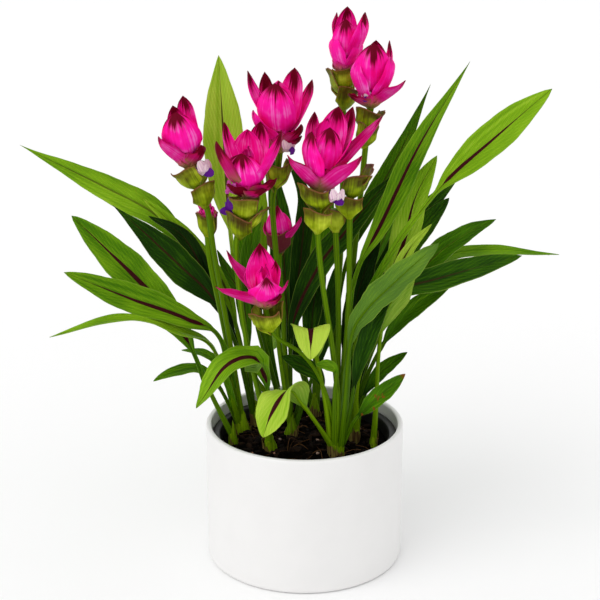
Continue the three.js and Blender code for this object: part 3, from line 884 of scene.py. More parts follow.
class Tissue:
    """One piece's mesh while it grows, in millimetres, with the marks that its finish reads."""

    SHARP = math.radians(50)
    MERGE = 0.002

    def __init__(self) -> None:
        """Starts an empty mesh with its three marks."""
        self.mesh = bmesh.new()
        layers = self.mesh.verts.layers.float_vector
        self.blade, self.reach, self.looks = (layers.new(name) for name in Paint.MARKS)

    def _lay(
        self, columns: int, rows: int, bend: Bend, length: float, looks: Point, seed: float
    ) -> list[bmesh.types.BMVert]:
        """Makes a grid, marks its points and bends it to shape.

        Args:
            columns: Faces across.
            rows: Faces along.
            bend: Where its points go.
            length: The strip's length in mm.
            looks: The three looks of its tissue.
            seed: Tells this strip's pattern from the others'.

        Returns:
            Its points that are left once doubles are merged.
        """
        grid = bmesh.ops.create_grid(self.mesh, x_segments=columns, y_segments=rows, size=1)["verts"]
        for point in grid:
            across, along = round(point.co.x, 6), round((point.co.y + 1) / 2, 6)
            spot = bend(across, along)
            point[self.blade] = Vector((across, along, seed))
            point[self.reach] = Vector((spot.aside, along * length, spot.half))
            point[self.looks] = Vector(looks)
            point.co = spot.position
        bmesh.ops.remove_doubles(self.mesh, verts=grid, dist=self.MERGE)
        return [point for point in grid if point.is_valid]

    def _close(self, points: Sequence[bmesh.types.BMVert], finish: Enum) -> None:
        """Turns a closed sheet's faces outward, smooths them and gives them their finish.

        Args:
            points: All of its points.
            finish: Its finish, whose value is a material's number.
        """
        faces = list({face for point in points for face in point.link_faces})
        bmesh.ops.recalc_face_normals(self.mesh, faces=faces)
        for face in faces:
            face.smooth = True
            face.material_index = finish.value

    def strip(
        self,
        columns: int,
        rows: int,
        bend: Bend,
        length: float,
        thickness: float,
        looks: Point,
        seed: float,
        finish: Enum,
    ) -> None:
        """Grows a thin closed sheet. The points of its under face get a seed that is one higher.

        Args:
            columns: Faces across.
            rows: Faces along.
            bend: Where the upper face's points go.
            length: Its length in mm.
            thickness: Its thickness in mm, below the upper face.
            looks: The three looks of its tissue.
            seed: Tells this strip's pattern from the others'.
            finish: Its finish, whose value is a material's number.
        """
        points = self._lay(columns, rows, bend, length, looks, seed)
        faces = list({face for point in points for face in point.link_faces})
        for element in (*faces, *points):
            element.normal_update()
        inner = [(point, point.co - point.normal * thickness) for point in points]
        grown = bmesh.ops.extrude_face_region(self.mesh, geom=faces, use_keep_orig=True)["geom"]
        for point, place in inner:
            point.co = place
            point[self.blade].z += 1
        points += [element for element in grown if isinstance(element, bmesh.types.BMVert)]
        self._close(points, finish)

    def tube(
        self, sides: int, rows: int, bend: Bend, length: float, looks: Point, seed: float, finish: Enum
    ) -> None:
        """Grows a tube that is closed at both ends.

        Args:
            sides: Faces round it.
            rows: Faces along.
            bend: Where its points go; across runs once round it.
            length: Its length in mm.
            looks: The three looks of its tissue.
            seed: Tells this tube's pattern from the others'.
            finish: Its finish, whose value is a material's number.
        """
        points = self._lay(sides, rows, bend, length, looks, seed)
        rims = list({edge for point in points for edge in point.link_edges if edge.is_boundary})
        bmesh.ops.holes_fill(self.mesh, edges=rims, sides=0)
        self._close(points, finish)

    def piece(self, name: str, materials: Sequence[bpy.types.Material]) -> bpy.types.Object:
        """Scales the mesh to metres and makes an object of it.

        Args:
            name: The object's name.
            materials: Its materials, in the order of the finishes' numbers.

        Returns:
            The object, linked to the scene.
        """
        for edge in self.mesh.edges:
            if edge.is_manifold and edge.calc_face_angle() > self.SHARP:
                edge.smooth = False
        bmesh.ops.scale(self.mesh, vec=(MM, MM, MM), verts=self.mesh.verts)
        return make_object(name, self.mesh, materials)


def make_object(
    name: str, mesh: bmesh.types.BMesh, materials: Sequence[bpy.types.Material]
) -> bpy.types.Object:
    """Turns a finished bmesh, in metres, to an object and frees it.

    Args:
        name: The object's name.
        mesh: The bmesh.
        materials: The object's materials.

    Returns:
        The object, linked to the scene.
    """
    data = bpy.data.meshes.new(name)
    mesh.to_mesh(data)
    mesh.free()
    for material in materials:
        data.materials.append(material)
    thing = bpy.data.objects.new(name, data)
    bpy.context.scene.collection.objects.link(thing)
    return thing


# Leaves


class ShootFinish(Enum):
    """The finishes of a leafy shoot, by their number in its piece."""

    BLADE = 0
    STALK = 1
    CUP = 2
    PAPERY = 3


def lance(s: float, drawn: float) -> float:
    """Gives the half width of a lance-shaped blade whose greatest half width is 1.

    Args:
        s: The place from its neck to its tip.
        drawn: 0 for a full blade, 1 for one that tapers to a long tip.

    Returns:
        The half width there.
    """
    return math.sin(math.pi * s ** (1.05 - 0.2 * drawn)) ** (0.75 + 0.4 * drawn) if 0 < s < 1 else 0.0


@dataclass(frozen=True)
class Leaf:
    """A leaf: a folded blade over a stalk that runs on as its midrib. Sizes are in millimetres. start and
    winged are shares of its route: where the blade's neck is, and how far a narrow wing goes on below it."""

    points: tuple[Point, ...]
    width: float
    start: float = 0.35
    faces: tuple[Point, ...] = ((0, -0.8, 0.6),)
    fold: float = 0.3
    drawn: float = 0.0
    wave: float = 0.0
    ragged: float = 0.035
    winged: float = 0.03
    # How dark its green is: partly its own tone, partly painted shade for a leaf deep inside the plant.
    shade: float = 0.4
    stripe: float = 0.5
    age: float = 0.0
    thickness: float = 0.45
    neck: float = 1.5
    foot_radius: float = 2.3
    stalk_radius: float = 1.4
    foot_depth: float = 16.0

    GRID = (16, 48)  # faces across and along
    STALK_GRID = (10, 40)  # faces round and along
    FOOT_GRID = (10, 6)
    MIDRIB_END = 0.97

    def grow(self, tissue: Tissue, foot: Point, seed: float) -> None:
        """Adds the leaf, from its foot in the sheath.

        Args:
            tissue: The shoot's mesh.
            foot: Where its stalk starts.
            seed: Tells this leaf's pattern and ripples from the others'.
        """
        route = Route((foot, *self.points), self.faces)
        start = self.start - self.winged
        ripple = self.wave + 0.07 * self.width

        def blade(across: float, along: float) -> Spot:
            """Bends the blade: folded, rippled, and narrow as a wing below its neck."""
            u = start + (1 - start) * along  # the share of the route
            s = (u - self.start) / (1 - self.start)  # the share of the blade above its neck
            bank = 1 if across > 0 else -1
            uneven = 1 + 0.05 * math.sin(math.tau * (1.3 * u + seed) + bank)
            uneven += 0.03 * math.sin(21 * u + 9 * seed - 2 * bank)
            uneven += self.ragged * math.sin(47 * u + 5 * seed + bank) ** 3
            full = lance(s, self.drawn) * uneven
            neck = self.neck + ease((self.start - 0.03 - u) * 12)
            half = max(neck * (1 - max(s, 0.0)), self.width * full) if along < 1 else 0.0
            at = route.station(u)
            wave = ripple * across * abs(across) * full * math.sin(math.tau * (1.9 * u + 3.1 * seed))
            frill = math.sin(math.tau * (4.7 * u + 1.7 * seed + 0.2 * across))
            wave += 0.5 * ripple * across**4 * full * frill
            crease = self.fold * (1.35 * math.hypot(across, 0.06) - 0.35 * across * across)
            curl = -1.2 * ease((s - 0.86) / 0.14) * math.cos(7 * seed)
            pleat = 0.14 * full * math.cos(3.5 * math.tau * abs(across) ** 0.8)
            lift = half * crease + wave + curl + pleat
            position = at.centre + at.side * (half * across) + at.normal * lift
            return Spot(position, half * across, half)

        def stalk(across: float, along: float) -> Spot:
            """Bends the stalk, which is grooved above and thins to the blade's midrib."""
            u = self.MIDRIB_END * along
            at = route.station(u)
            turn = math.pi * across
            if u < self.start:
                widths = ((0, self.foot_radius), (0.5, 1.12 * self.stalk_radius), (1, self.stalk_radius))
                wide = profile(widths, u / self.start)
            else:
                widths = ((0, self.stalk_radius), (0.4, 0.66), (1, 0.2))
                wide = profile(widths, (u - self.start) / (self.MIDRIB_END - self.start))
            groove = 0.5 * max(0.0, math.sin(turn)) ** 3
            high = wide * (0.9 * math.sin(turn) - groove) - 0.6 * wide * ease((u - start) * 12)
            position = at.centre + at.side * (wide * math.cos(turn)) + at.normal * high
            return Spot(position, wide * math.cos(turn), wide)

        def base(across: float, along: float) -> Spot:
            """Bends the stalk's upright foot, which stands in the sheath."""
            turn = math.pi * across
            wide = self.foot_radius * (1 - 0.1 * along + 0.25 * (1 - along) ** 2)
            out = Vector((math.cos(turn), math.sin(turn), 0)) * wide
            return Spot(Vector(foot) + out + Vector((0, 0, self.foot_depth * (along - 1) + 1)), wide, wide)

        length = route.length
        looks = (self.shade, self.stripe, self.age)
        # The stalk darkens with the leaf's shade, so it carries the same painted shade deep inside the plant.
        green = (0.5 + 0.45 * self.shade, 0.0, 0.0)
        low = (green[0] - 0.2, 0.35, 0.0)
        tissue.strip(
            *self.GRID, blade, (1 - start) * length, self.thickness, looks, seed, ShootFinish.BLADE
        )
        tissue.tube(*self.STALK_GRID, stalk, self.MIDRIB_END * length, green, seed, ShootFinish.STALK)
        tissue.tube(*self.FOOT_GRID, base, self.foot_depth, low, seed, ShootFinish.STALK)


# Flower stalks and their cups


class Axis:
    """The line up the middle of a head or of a stalk's top."""

    def __init__(self, foot: Point, lean: tuple[float, float]) -> None:
        """Sets the axis.

        Args:
            foot: Its foot in millimetres.
            lean: How far it leans in X and Y for each millimetre up.
        """
        self.foot = Vector(foot)
        self.up = Vector((lean[0], lean[1], 1)).normalized()
        self.x = (Vector((1, 0, 0)) - self.up * self.up.x).normalized()
        self.y = self.up.cross(self.x)

    def outward(self, degrees: float) -> Vector:
        """Gives the direction out of the axis at that turn."""
        turn = math.radians(degrees)
        return self.x * math.cos(turn) + self.y * math.sin(turn)

    def at(self, degrees: float, reach: float, height: float) -> Vector:
        """Gives the point at a turn round the axis, a reach out of it and a height along it."""
        return self.foot + self.outward(degrees) * reach + self.up * height


@dataclass(frozen=True)
class Cup:
    """A green cup-shaped bract round a stalk, its lip turned out. turn is in degrees round the stalk, lip is
    its lip's height above the head's foot, and sizes are in millimetres."""

    turn: float
    reach: float
    lip: float
    width: float
    shade: float = 0.4
    maroon: float = 0.0
    length: float = 20.0
    thickness: float = 0.7
    rise: float = 1.5

    GRID = (16, 16)
    WIDTHS = ((0, 0.2), (0.12, 0.56), (0.3, 0.9), (0.5, 1.02), (0.75, 1.0), (1, 1.06))

    def grow(self, tissue: Tissue, axis: Axis, seed: float) -> None:
        """Adds the cup round an axis.

        Args:
            tissue: The shoot's mesh.
            axis: The line up the stalk's top.
            seed: Tells this cup's pattern and folds from the others'.
        """
        base = self.lip + self.rise - self.length
        outward = tuple(axis.outward(self.turn))
        steps = ((0.9, 0.0), (0.72 * self.reach, 0.28), (0.95 * self.reach, 0.62), (self.reach, 1.0))
        route = Route([axis.at(self.turn, out, base + up * self.length) for out, up in steps], (outward,))

        def wall(across: float, along: float) -> Spot:
            """Bends the cup's wall round the stalk, its lip flared."""
            sag = 0.92 + 0.06 * across * across + 0.08 * math.sin(2.4 * across + 20 * seed)
            at = route.station(along * sag)
            half = self.width * profile(self.WIDTHS, along)
            roll = 2.6 + (0.92 * self.reach - 1) * ease(along / 0.5)
            roll += 0.2 * self.reach * ease((along - 0.75) / 0.25)
            bend = half * across / roll
            flare = 1.8 * ease((along - 0.78) / 0.22)
            flare += 0.5 * math.sin(7 * across + 20 * seed) * ease((along - 0.6) / 0.4)
            curl = 1.6 * across**4 * ease((along - 0.35) / 0.5)
            flute = 0.12 * math.cos(5.5 * math.tau * across) * ease(along * 3)
            lift = flare + curl + flute - roll * (1 - math.cos(bend))
            position = at.centre + at.side * (roll * math.sin(bend)) + at.normal * lift
            return Spot(position, half * across, half)

        looks = (self.shade, self.maroon, 0.0)
        tissue.strip(*self.GRID, wall, route.length, self.thickness, looks, seed, ShootFinish.CUP)


@dataclass(frozen=True)
class Scape:
    """A flower stalk up to its head's foot, with its cups."""

    points: tuple[Point, ...]
    cups: tuple[Cup, ...]
    radius: float = 2.0
    shade: float = 0.66
    head_gap: float = 0.7

    GRID = (14, 44)

    def grow(self, tissue: Tissue, root: tuple[float, float], floor: float, seed: float) -> None:
        """Adds the stalk and its cups.

        Args:
            tissue: The shoot's mesh.
            root: Where the shoot stands.
            floor: The height at which the stalk starts.
            seed: Tells this stalk's pattern from the others'.
        """
        foot, below = self.points[-1], self.points[-2]
        lean = tuple((foot[k] - below[k]) / (foot[2] - below[2]) for k in (0, 1))
        axis = Axis(foot, lean)
        end = axis.at(0, 0, -self.head_gap)
        route = Route(((*root, floor), *self.points[:-1], tuple(end)), ((0, -1, 0.1),))

        def stem(across: float, along: float) -> Spot:
            """Bends the stalk, which is a little thicker at both ends and lightly ribbed."""
            at = route.station(along)
            turn = math.pi * across
            wide = self.radius * (1.08 - 0.14 * math.sin(math.pi * along) + 0.12 * ease((along - 0.9) / 0.1))
            wide *= 1 + 0.035 * math.cos(5 * turn + 9 * seed)
            return Spot(at.around(turn, wide), wide, wide)

        tissue.tube(*self.GRID, stem, route.length, (self.shade, 0.0, 0.0), seed, ShootFinish.STALK)
        for k, cup in enumerate(self.cups):
            cup.grow(tissue, axis, (seed + 0.37 * k) % 1)


@dataclass(frozen=True)
class Shoot:
    """A leafy shoot: its sheath in the soil, with the leaves and flower stalks that rise from it."""

    name: str
    root: tuple[float, float]
    radius: float
    leaves: tuple[Leaf, ...] = ()
    scapes: tuple[Scape, ...] = ()
    floor: float = 72.0
    route_start: float = 92.0
    sheath_top: float = 99.0
    paper_thickness: float = 0.3
    taper: float = 0.7
    spread: float = 0.55

    SHEATH_GRID = (20, 12)
    PAPER_GRID = (20, 8)

    def _sheath(self, tissue: Tissue, seed: float) -> None:
        """Adds the fleshy sheath and the torn papery one round its foot.

        Args:
            tissue: The shoot's mesh.
            seed: Tells these sheaths' pattern from the others'.
        """
        x, y = self.root
        height = self.sheath_top - self.floor
        middle = self.floor + height / 2
        path = Route(((x, y, self.floor), (x, y, middle), (x, y, self.sheath_top)), ((0, -1, 0),))

        def core(across: float, along: float) -> Spot:
            """Bends the fleshy sheath, which narrows to a slanting top."""
            turn = math.pi * across
            wide = self.radius * (0.86 - (0.86 - self.taper) * along)
            wide *= 1 + 0.06 * math.cos(3 * turn + 12 * seed)
            wide *= 1 - 0.5 * ease((along - 0.6) / 0.4)
            tilt = 4 * math.cos(turn + 20 * seed) * ease((along - 0.4) / 0.6)
            at = path.station(along)
            position = at.centre + Vector((wide * math.cos(turn), wide * math.sin(turn), tilt))
            return Spot(position, wide, wide)

        def torn(across: float, along: float) -> Spot:
            """Bends the papery sheath, which goes two thirds of the way round and ends in a torn edge."""
            turn = 2.1 * across + 20 * seed
            top = 0.52 + 0.3 * (1 - abs(across)) + 0.06 * math.sin(23 * across + 9 * seed)
            wide = self.radius * (0.92 - 0.1 * along) + 0.3 + 0.9 * along**3
            at = path.station(along * top)
            position = at.centre + Vector((wide * math.cos(turn), wide * math.sin(turn), 0))
            return Spot(position, wide * across, wide)

        fleshy, papery = (0.45 + 0.3 * seed, 0.3, 0.0), (seed, 0.0, 0.0)
        tissue.tube(*self.SHEATH_GRID, core, height, fleshy, seed, ShootFinish.STALK)
        tissue.strip(
            *self.PAPER_GRID, torn, height, self.paper_thickness, papery, seed, ShootFinish.PAPERY
        )

    def build(self, wardrobe: Wardrobe) -> bpy.types.Object:
        """Grows the shoot.

        Args:
            wardrobe: The finishes.

        Returns:
            The shoot's piece, on the pot's body in place of its node.
        """
        tissue = Tissue()
        draw = random.Random(self.name)
        self._sheath(tissue, draw.random())
        for leaf in self.leaves:
            away = Vector(leaf.points[0][:2]) - Vector(self.root)
            away = away.normalized() * min(away.length, self.spread * self.radius)
            foot = (self.root[0] + away.x, self.root[1] + away.y, self.route_start)
            leaf.grow(tissue, foot, draw.random())
        for scape in self.scapes:
            scape.grow(tissue, self.root, self.route_start, draw.random())
        piece = tissue.piece(f"{self.name}_grown", wardrobe.shoot)
        return declare(piece, self.name)


# Flower heads


class HeadFinish(Enum):
    """The finishes of a flower head, by their number in its piece."""

    BRACT = 0
    PETAL = 1


class Bloom(Enum):
    """How a pink bract looks: its flame's length, its dullness, and how far green comes up its foot."""

    FLAMED = (0.3, 0.0, 0.1)
    PLAIN = (0.12, 0.0, 0.12)
    OUTER = (0.2, 0.6, 0.4)
    DULL = (0.4, 1.0, 0.6)
    FOOT = (0.25, 0.7, 0.8)
    POUCH = (1.3, 1.0, 0.2)


@dataclass(frozen=True)
class Bract:
    """A pink bract, its outer face away from the head's axis. turn is in degrees round it, tip and base are
    heights above the head's foot, and sizes are in millimetres."""

    turn: float
    reach: float
    tip: float
    width: float
    base: float
    bulge: float
    bloom: Bloom
    thickness: float = 0.55
    foot_reach: float = 0.8

    GRID = (16, 24)
    UPRIGHT = (
        (0, 0.34), (0.12, 0.62), (0.3, 0.88), (0.5, 1.0), (0.68, 0.96), (0.82, 0.78), (0.93, 0.44), (1, 0.0)
    )
    POINTED = (
        (0, 0.34), (0.12, 0.66), (0.3, 0.94), (0.5, 0.96), (0.68, 0.74), (0.82, 0.46), (0.93, 0.18), (1, 0.0)
    )
    SPREADING = ((0, 0.5), (0.12, 0.84), (0.32, 1.02), (0.55, 1.0), (0.75, 0.82), (0.9, 0.48), (1, 0.0))
    TAPERING = ((0, 0.5), (0.12, 0.84), (0.32, 1.02), (0.55, 0.88), (0.75, 0.58), (0.9, 0.26), (1, 0.0))

    @property
    def spreads(self) -> bool:
        """Tells whether it is one of the low bracts that lean out of the head."""
        return self.reach > 0.62 * (self.tip - self.base)

    def grow(self, tissue: Tissue, axis: Axis, seed: float, pointed: float = 0.0) -> None:
        """Adds the bract to a head.

        Args:
            tissue: The head's mesh.
            axis: The line up the head's middle.
            seed: Tells this bract's pattern and folds from the others'.
            pointed: 0 for a rounded bract, 1 for a pointed one.
        """
        height = self.tip - self.base
        first = self.foot_reach
        steps = (
            (first, 0.0),
            (first + 0.3 * self.reach + 0.9 * self.bulge, 0.28),
            (first + 0.66 * self.reach + self.bulge, 0.64),
            (first + self.reach, 1.0),
        )
        outward = tuple(axis.outward(self.turn))
        route = Route([axis.at(self.turn, out, self.base + up * height) for out, up in steps], (outward,))
        full_roll = 5 + 0.35 * self.width if self.spreads else 9 + 0.45 * self.width
        full, sharp = (self.SPREADING, self.TAPERING) if self.spreads else (self.UPRIGHT, self.POINTED)

        def petal(across: float, along: float) -> Spot:
            """Bends the bract: rolled round the axis, keeled, its margin wavy and its tip hooked inward."""
            at = route.station(along)
            wide = (1 - pointed) * profile(full, along) + pointed * profile(sharp, along)
            half = self.width * wide if along < 1 else 0.0
            roll = 4.2 + (full_roll - 4.2) * ease(along / 0.4)
            bend = half * across / roll
            size = half / self.width
            keel = 0.4 * (1 - min(1.0, 3 * abs(across))) * size
            lip = 0.8 * size * across**4 * math.sin(math.tau * (1.6 * along + seed) + 2 * across)
            hook = -1.3 * ease((along - 0.8) / 0.2)
            flute = 0.12 * size * math.cos(4.5 * math.tau * across)
            lift = keel + lip + hook + flute - roll * (1 - math.cos(bend))
            position = at.centre + at.side * (roll * math.sin(bend)) + at.normal * lift
            return Spot(position, half * across, half)

        tissue.strip(
            *self.GRID, petal, route.length, self.thickness, self.bloom.value, seed, HeadFinish.BRACT
        )


@dataclass(frozen=True)
class Floret:
    """A small true flower that leans out between the bracts: a hood, a side petal and a violet lip."""

    turn: float
    reach: float
    height: float
    size: float
    violet: float = 0.06
    magenta: float = 0.0
    pouch: float = 0.0
    thickness: float = 0.4

    GRID = (8, 12)

    def grow(self, tissue: Tissue, axis: Axis, seed: float) -> None:
        """Adds the flower to a head.

        Args:
            tissue: The head's mesh.
            axis: The line up the head's middle.
            seed: Tells this flower's pattern from the others'.
        """
        petals = (
            (-16, 0.05, 0.95, 0.36, self.violet),
            (15, 0.1, 0.85, 0.34, self.violet),
            (-2, 0.3, 0.6, 0.3, self.violet),
            (0, 0.75, -0.1, 0.34, 1.0 - self.magenta),
        )
        outward = tuple(axis.outward(self.turn) + Vector((0, -0.8, 0)))
        for k, (twist, out, climb, wide, violet) in enumerate(petals):
            route = Route(
                (
                    axis.at(self.turn, 1, 0.5),
                    axis.at(self.turn + 0.4 * twist, self.reach, self.height),
                    axis.at(self.turn + twist, self.reach + out * self.size, self.height + climb * self.size),
                ),
                (outward,),
            )

            def petal(across: float, along: float, wide: float = wide * self.size, k: int = k) -> Spot:
                """Bends one petal, its sides swept back a little and its margin frilled."""
                at = route.station(along)
                widths = ((0, 1.0), (0.35, 1.4), (0.7, wide), (0.88, 0.9 * wide), (1, 0.35 * wide))
                half = profile(widths, along)
                frill = 0.35 * across**3 * math.sin(9 * along + 3 * k) * ease((along - 0.5) * 2)
                lift = -0.25 * half * abs(across) + frill
                return Spot(at.centre + at.side * (half * across) + at.normal * lift, half * across, half)

            looks, own = (violet, self.magenta, 0.0), (seed + 0.2 * k) % 1
            tissue.strip(*self.GRID, petal, route.length, self.thickness, looks, own, HeadFinish.PETAL)
        if self.pouch:
            pouch = Bract(self.turn, self.reach + 3, self.height + 4, self.pouch, 0, 1.5, Bloom.POUCH)
            pouch.grow(tissue, axis, seed)


@dataclass(frozen=True)
class Head:
    """A pink flower head: bracts in layers on a short core, with the true flowers between them."""

    name: str
    foot: Point
    lean: tuple[float, float]
    bracts: tuple[Bract, ...]
    florets: tuple[Floret, ...] = ()
    pointed: float = 0.0
    core_radius: float = 3.4
    core_height: float = 12.0

    CORE_GRID = (12, 8)

    def build(self, wardrobe: Wardrobe) -> bpy.types.Object:
        """Grows the head.

        Args:
            wardrobe: The finishes.

        Returns:
            The head's piece, on the pot's body in place of its node.
        """
        tissue = Tissue()
        axis = Axis(self.foot, self.lean)
        draw = random.Random(self.name)
        path = Route([axis.at(0, 0, height) for height in (-1, 5, self.core_height)], ((0, -1, 0),))

        def core(across: float, along: float) -> Spot:
            """Bends the core, which is thickest half way up."""
            at = path.station(along)
            turn = math.pi * across
            wide = self.core_radius * (0.62 + 0.38 * math.sin(math.pi * along))
            return Spot(at.around(turn, wide), wide, wide)

        tissue.tube(
            *self.CORE_GRID, core, self.core_height, Bloom.OUTER.value, draw.random(), HeadFinish.BRACT
        )
        for bract in (*self.bracts, *self._heart()):
            bract.grow(tissue, axis, draw.random(), self.pointed)
        for floret in self.florets:
            floret.grow(tissue, axis, draw.random())
        return declare(tissue.piece(f"{self.name}_grown", wardrobe.head), self.name)

    def _heart(self) -> list[Bract]:
        """Makes the bracts that are the same in each head.

        Returns:
            The small ones that close its middle, and the short broad ones round its foot.
        """
        tallest = max(bract.tip for bract in self.bracts)
        width = 0.6 * max(bract.width for bract in self.bracts)
        inner = [
            Bract(35 + 90 * k, 2.2 + 0.6 * k, 0.72 * tallest - 2 * k, width, 1.0, 1.5, Bloom.PLAIN)
            for k in range(4)
        ]
        reach, tip = 0.11 * tallest + 2, 0.3 * tallest
        foot = [Bract(72 * k - 90, reach, tip - k % 2, 7.5, -1.5, 3.2, Bloom.FOOT) for k in range(5)]
        return [*inner, *foot]


# Pots and soil


def spun(outline: Sequence[tuple[float, float]], sides: int) -> bmesh.types.BMesh:
    """Spins an outline once round the Z axis, as a potter's wheel would.

    Args:
        outline: Radius and height in mm, in order, from the axis and back to it.
        sides: Steps round the axis.

    Returns:
        The closed mesh, in metres, its faces outward and smooth.
    """
    mesh = bmesh.new()
    points = [mesh.verts.new((radius * MM, 0, height * MM)) for radius, height in outline]
    edges = [mesh.edges.new(pair) for pair in zip(points, points[1:])]
    bmesh.ops.spin(
        mesh,
        geom=[*points, *edges],
        axis=(0, 0, 1),
        steps=sides,
        angle=math.tau,
        use_merge=True,
    )
    bmesh.ops.remove_doubles(mesh, verts=mesh.verts, dist=1e-6)
    bmesh.ops.recalc_face_normals(mesh, faces=mesh.faces)
    for face in mesh.faces:
        face.smooth = True
    return mesh


def rounded(corners: Sequence[tuple[float, float, float]], steps: int = 5) -> list[tuple[float, float]]:
    """Rounds an outline's corners.

    Args:
        corners: Radius, height and the corner's own rounding, all in mm.
        steps: Steps round each corner.

    Returns:
        The rounded outline's radii and heights.
    """
    points = []
    for k, (x, z, round_mm) in enumerate(corners):
        if not round_mm:
            points.append((x, z))
            continue
        here = Vector((x, z))
        before = (Vector(corners[k - 1][:2]) - here).normalized() * round_mm
        after = (Vector(corners[k + 1][:2]) - here).normalized() * round_mm
        for step in range(steps + 1):
            w = step / steps
            points.append(tuple(here + before * (1 - w) ** 2 + after * w**2))
    return points


@dataclass(frozen=True)
class CoverPot:
    """The round white cover pot: upright wall, flat foot, open inside. Sizes are in millimetres."""

    radius: float = 70.0
    height: float = 100.0
    wall: float = 4.0
    floor: float = 6.0
    sides: int = 160

    def build(self, wardrobe: Wardrobe) -> bpy.types.Object:
        """Builds the pot.

        Args:
            wardrobe: The finishes.

        Returns:
            The pot's piece, in place of its node.
        """
        inner = self.radius - self.wall
        outline = rounded(
            (
                (0, 0, 0),
                (self.radius - 9, 0, 0),
                (self.radius, 0, 3.2),
                (self.radius, 30, 0),
                (self.radius, 65, 0),
                (self.radius, self.height, 1.9),
                (inner, self.height, 1.7),
                (inner, 60, 0),
                (inner, self.floor, 4),
                (0, self.floor, 0),
            ),
            7,
        )
        piece = make_object("cover_pot_glazed", spun(outline, self.sides), [wardrobe.glaze])
        return declare(piece, "cover_pot")


@dataclass(frozen=True)
class NurseryPot:
    """The black plastic growing pot with its rolled rim. Sizes are in millimetres."""

    rim_radius: float = 65.3
    rim_width: float = 5.1
    rim_depth: float = 8.0
    rim_top: float = 92.0
    neck: float = 60.2
    base: float = 45.0
    wall: float = 1.4
    bottom: float = 6.3
    sides: int = 128

    def build(self, wardrobe: Wardrobe) -> bpy.types.Object:
        """Builds the pot.

        Args:
            wardrobe: The finishes.

        Returns:
            The pot's piece, in place of its node.
        """
        low = self.rim_top - self.rim_depth
        inside = self.neck - self.wall
        outline = rounded(
            (
                (0, self.bottom, 0),
                (self.base, self.bottom, 2),
                (self.neck, low, 0.4),
                (self.rim_radius - 0.4, low + 0.5, 0.5),
                (self.rim_radius, self.rim_top, 1.5),
                (self.rim_radius - self.rim_width, self.rim_top, 1.5),
                (inside + 0.4, low + 1, 0.8),
                (self.base - self.wall, self.bottom + 2, 1.5),
                (0, self.bottom + 2, 0),
            ),
            5,
        )
        piece = make_object("nursery_pot_moulded", spun(outline, self.sides), [wardrobe.plastic])
        return declare(piece, "nursery_pot")


class Bit(Enum):
    """The kinds of loose bits on the soil, by the number of their finish."""

    BARK = 0
    ROOT = 1
    GRAIN = 2


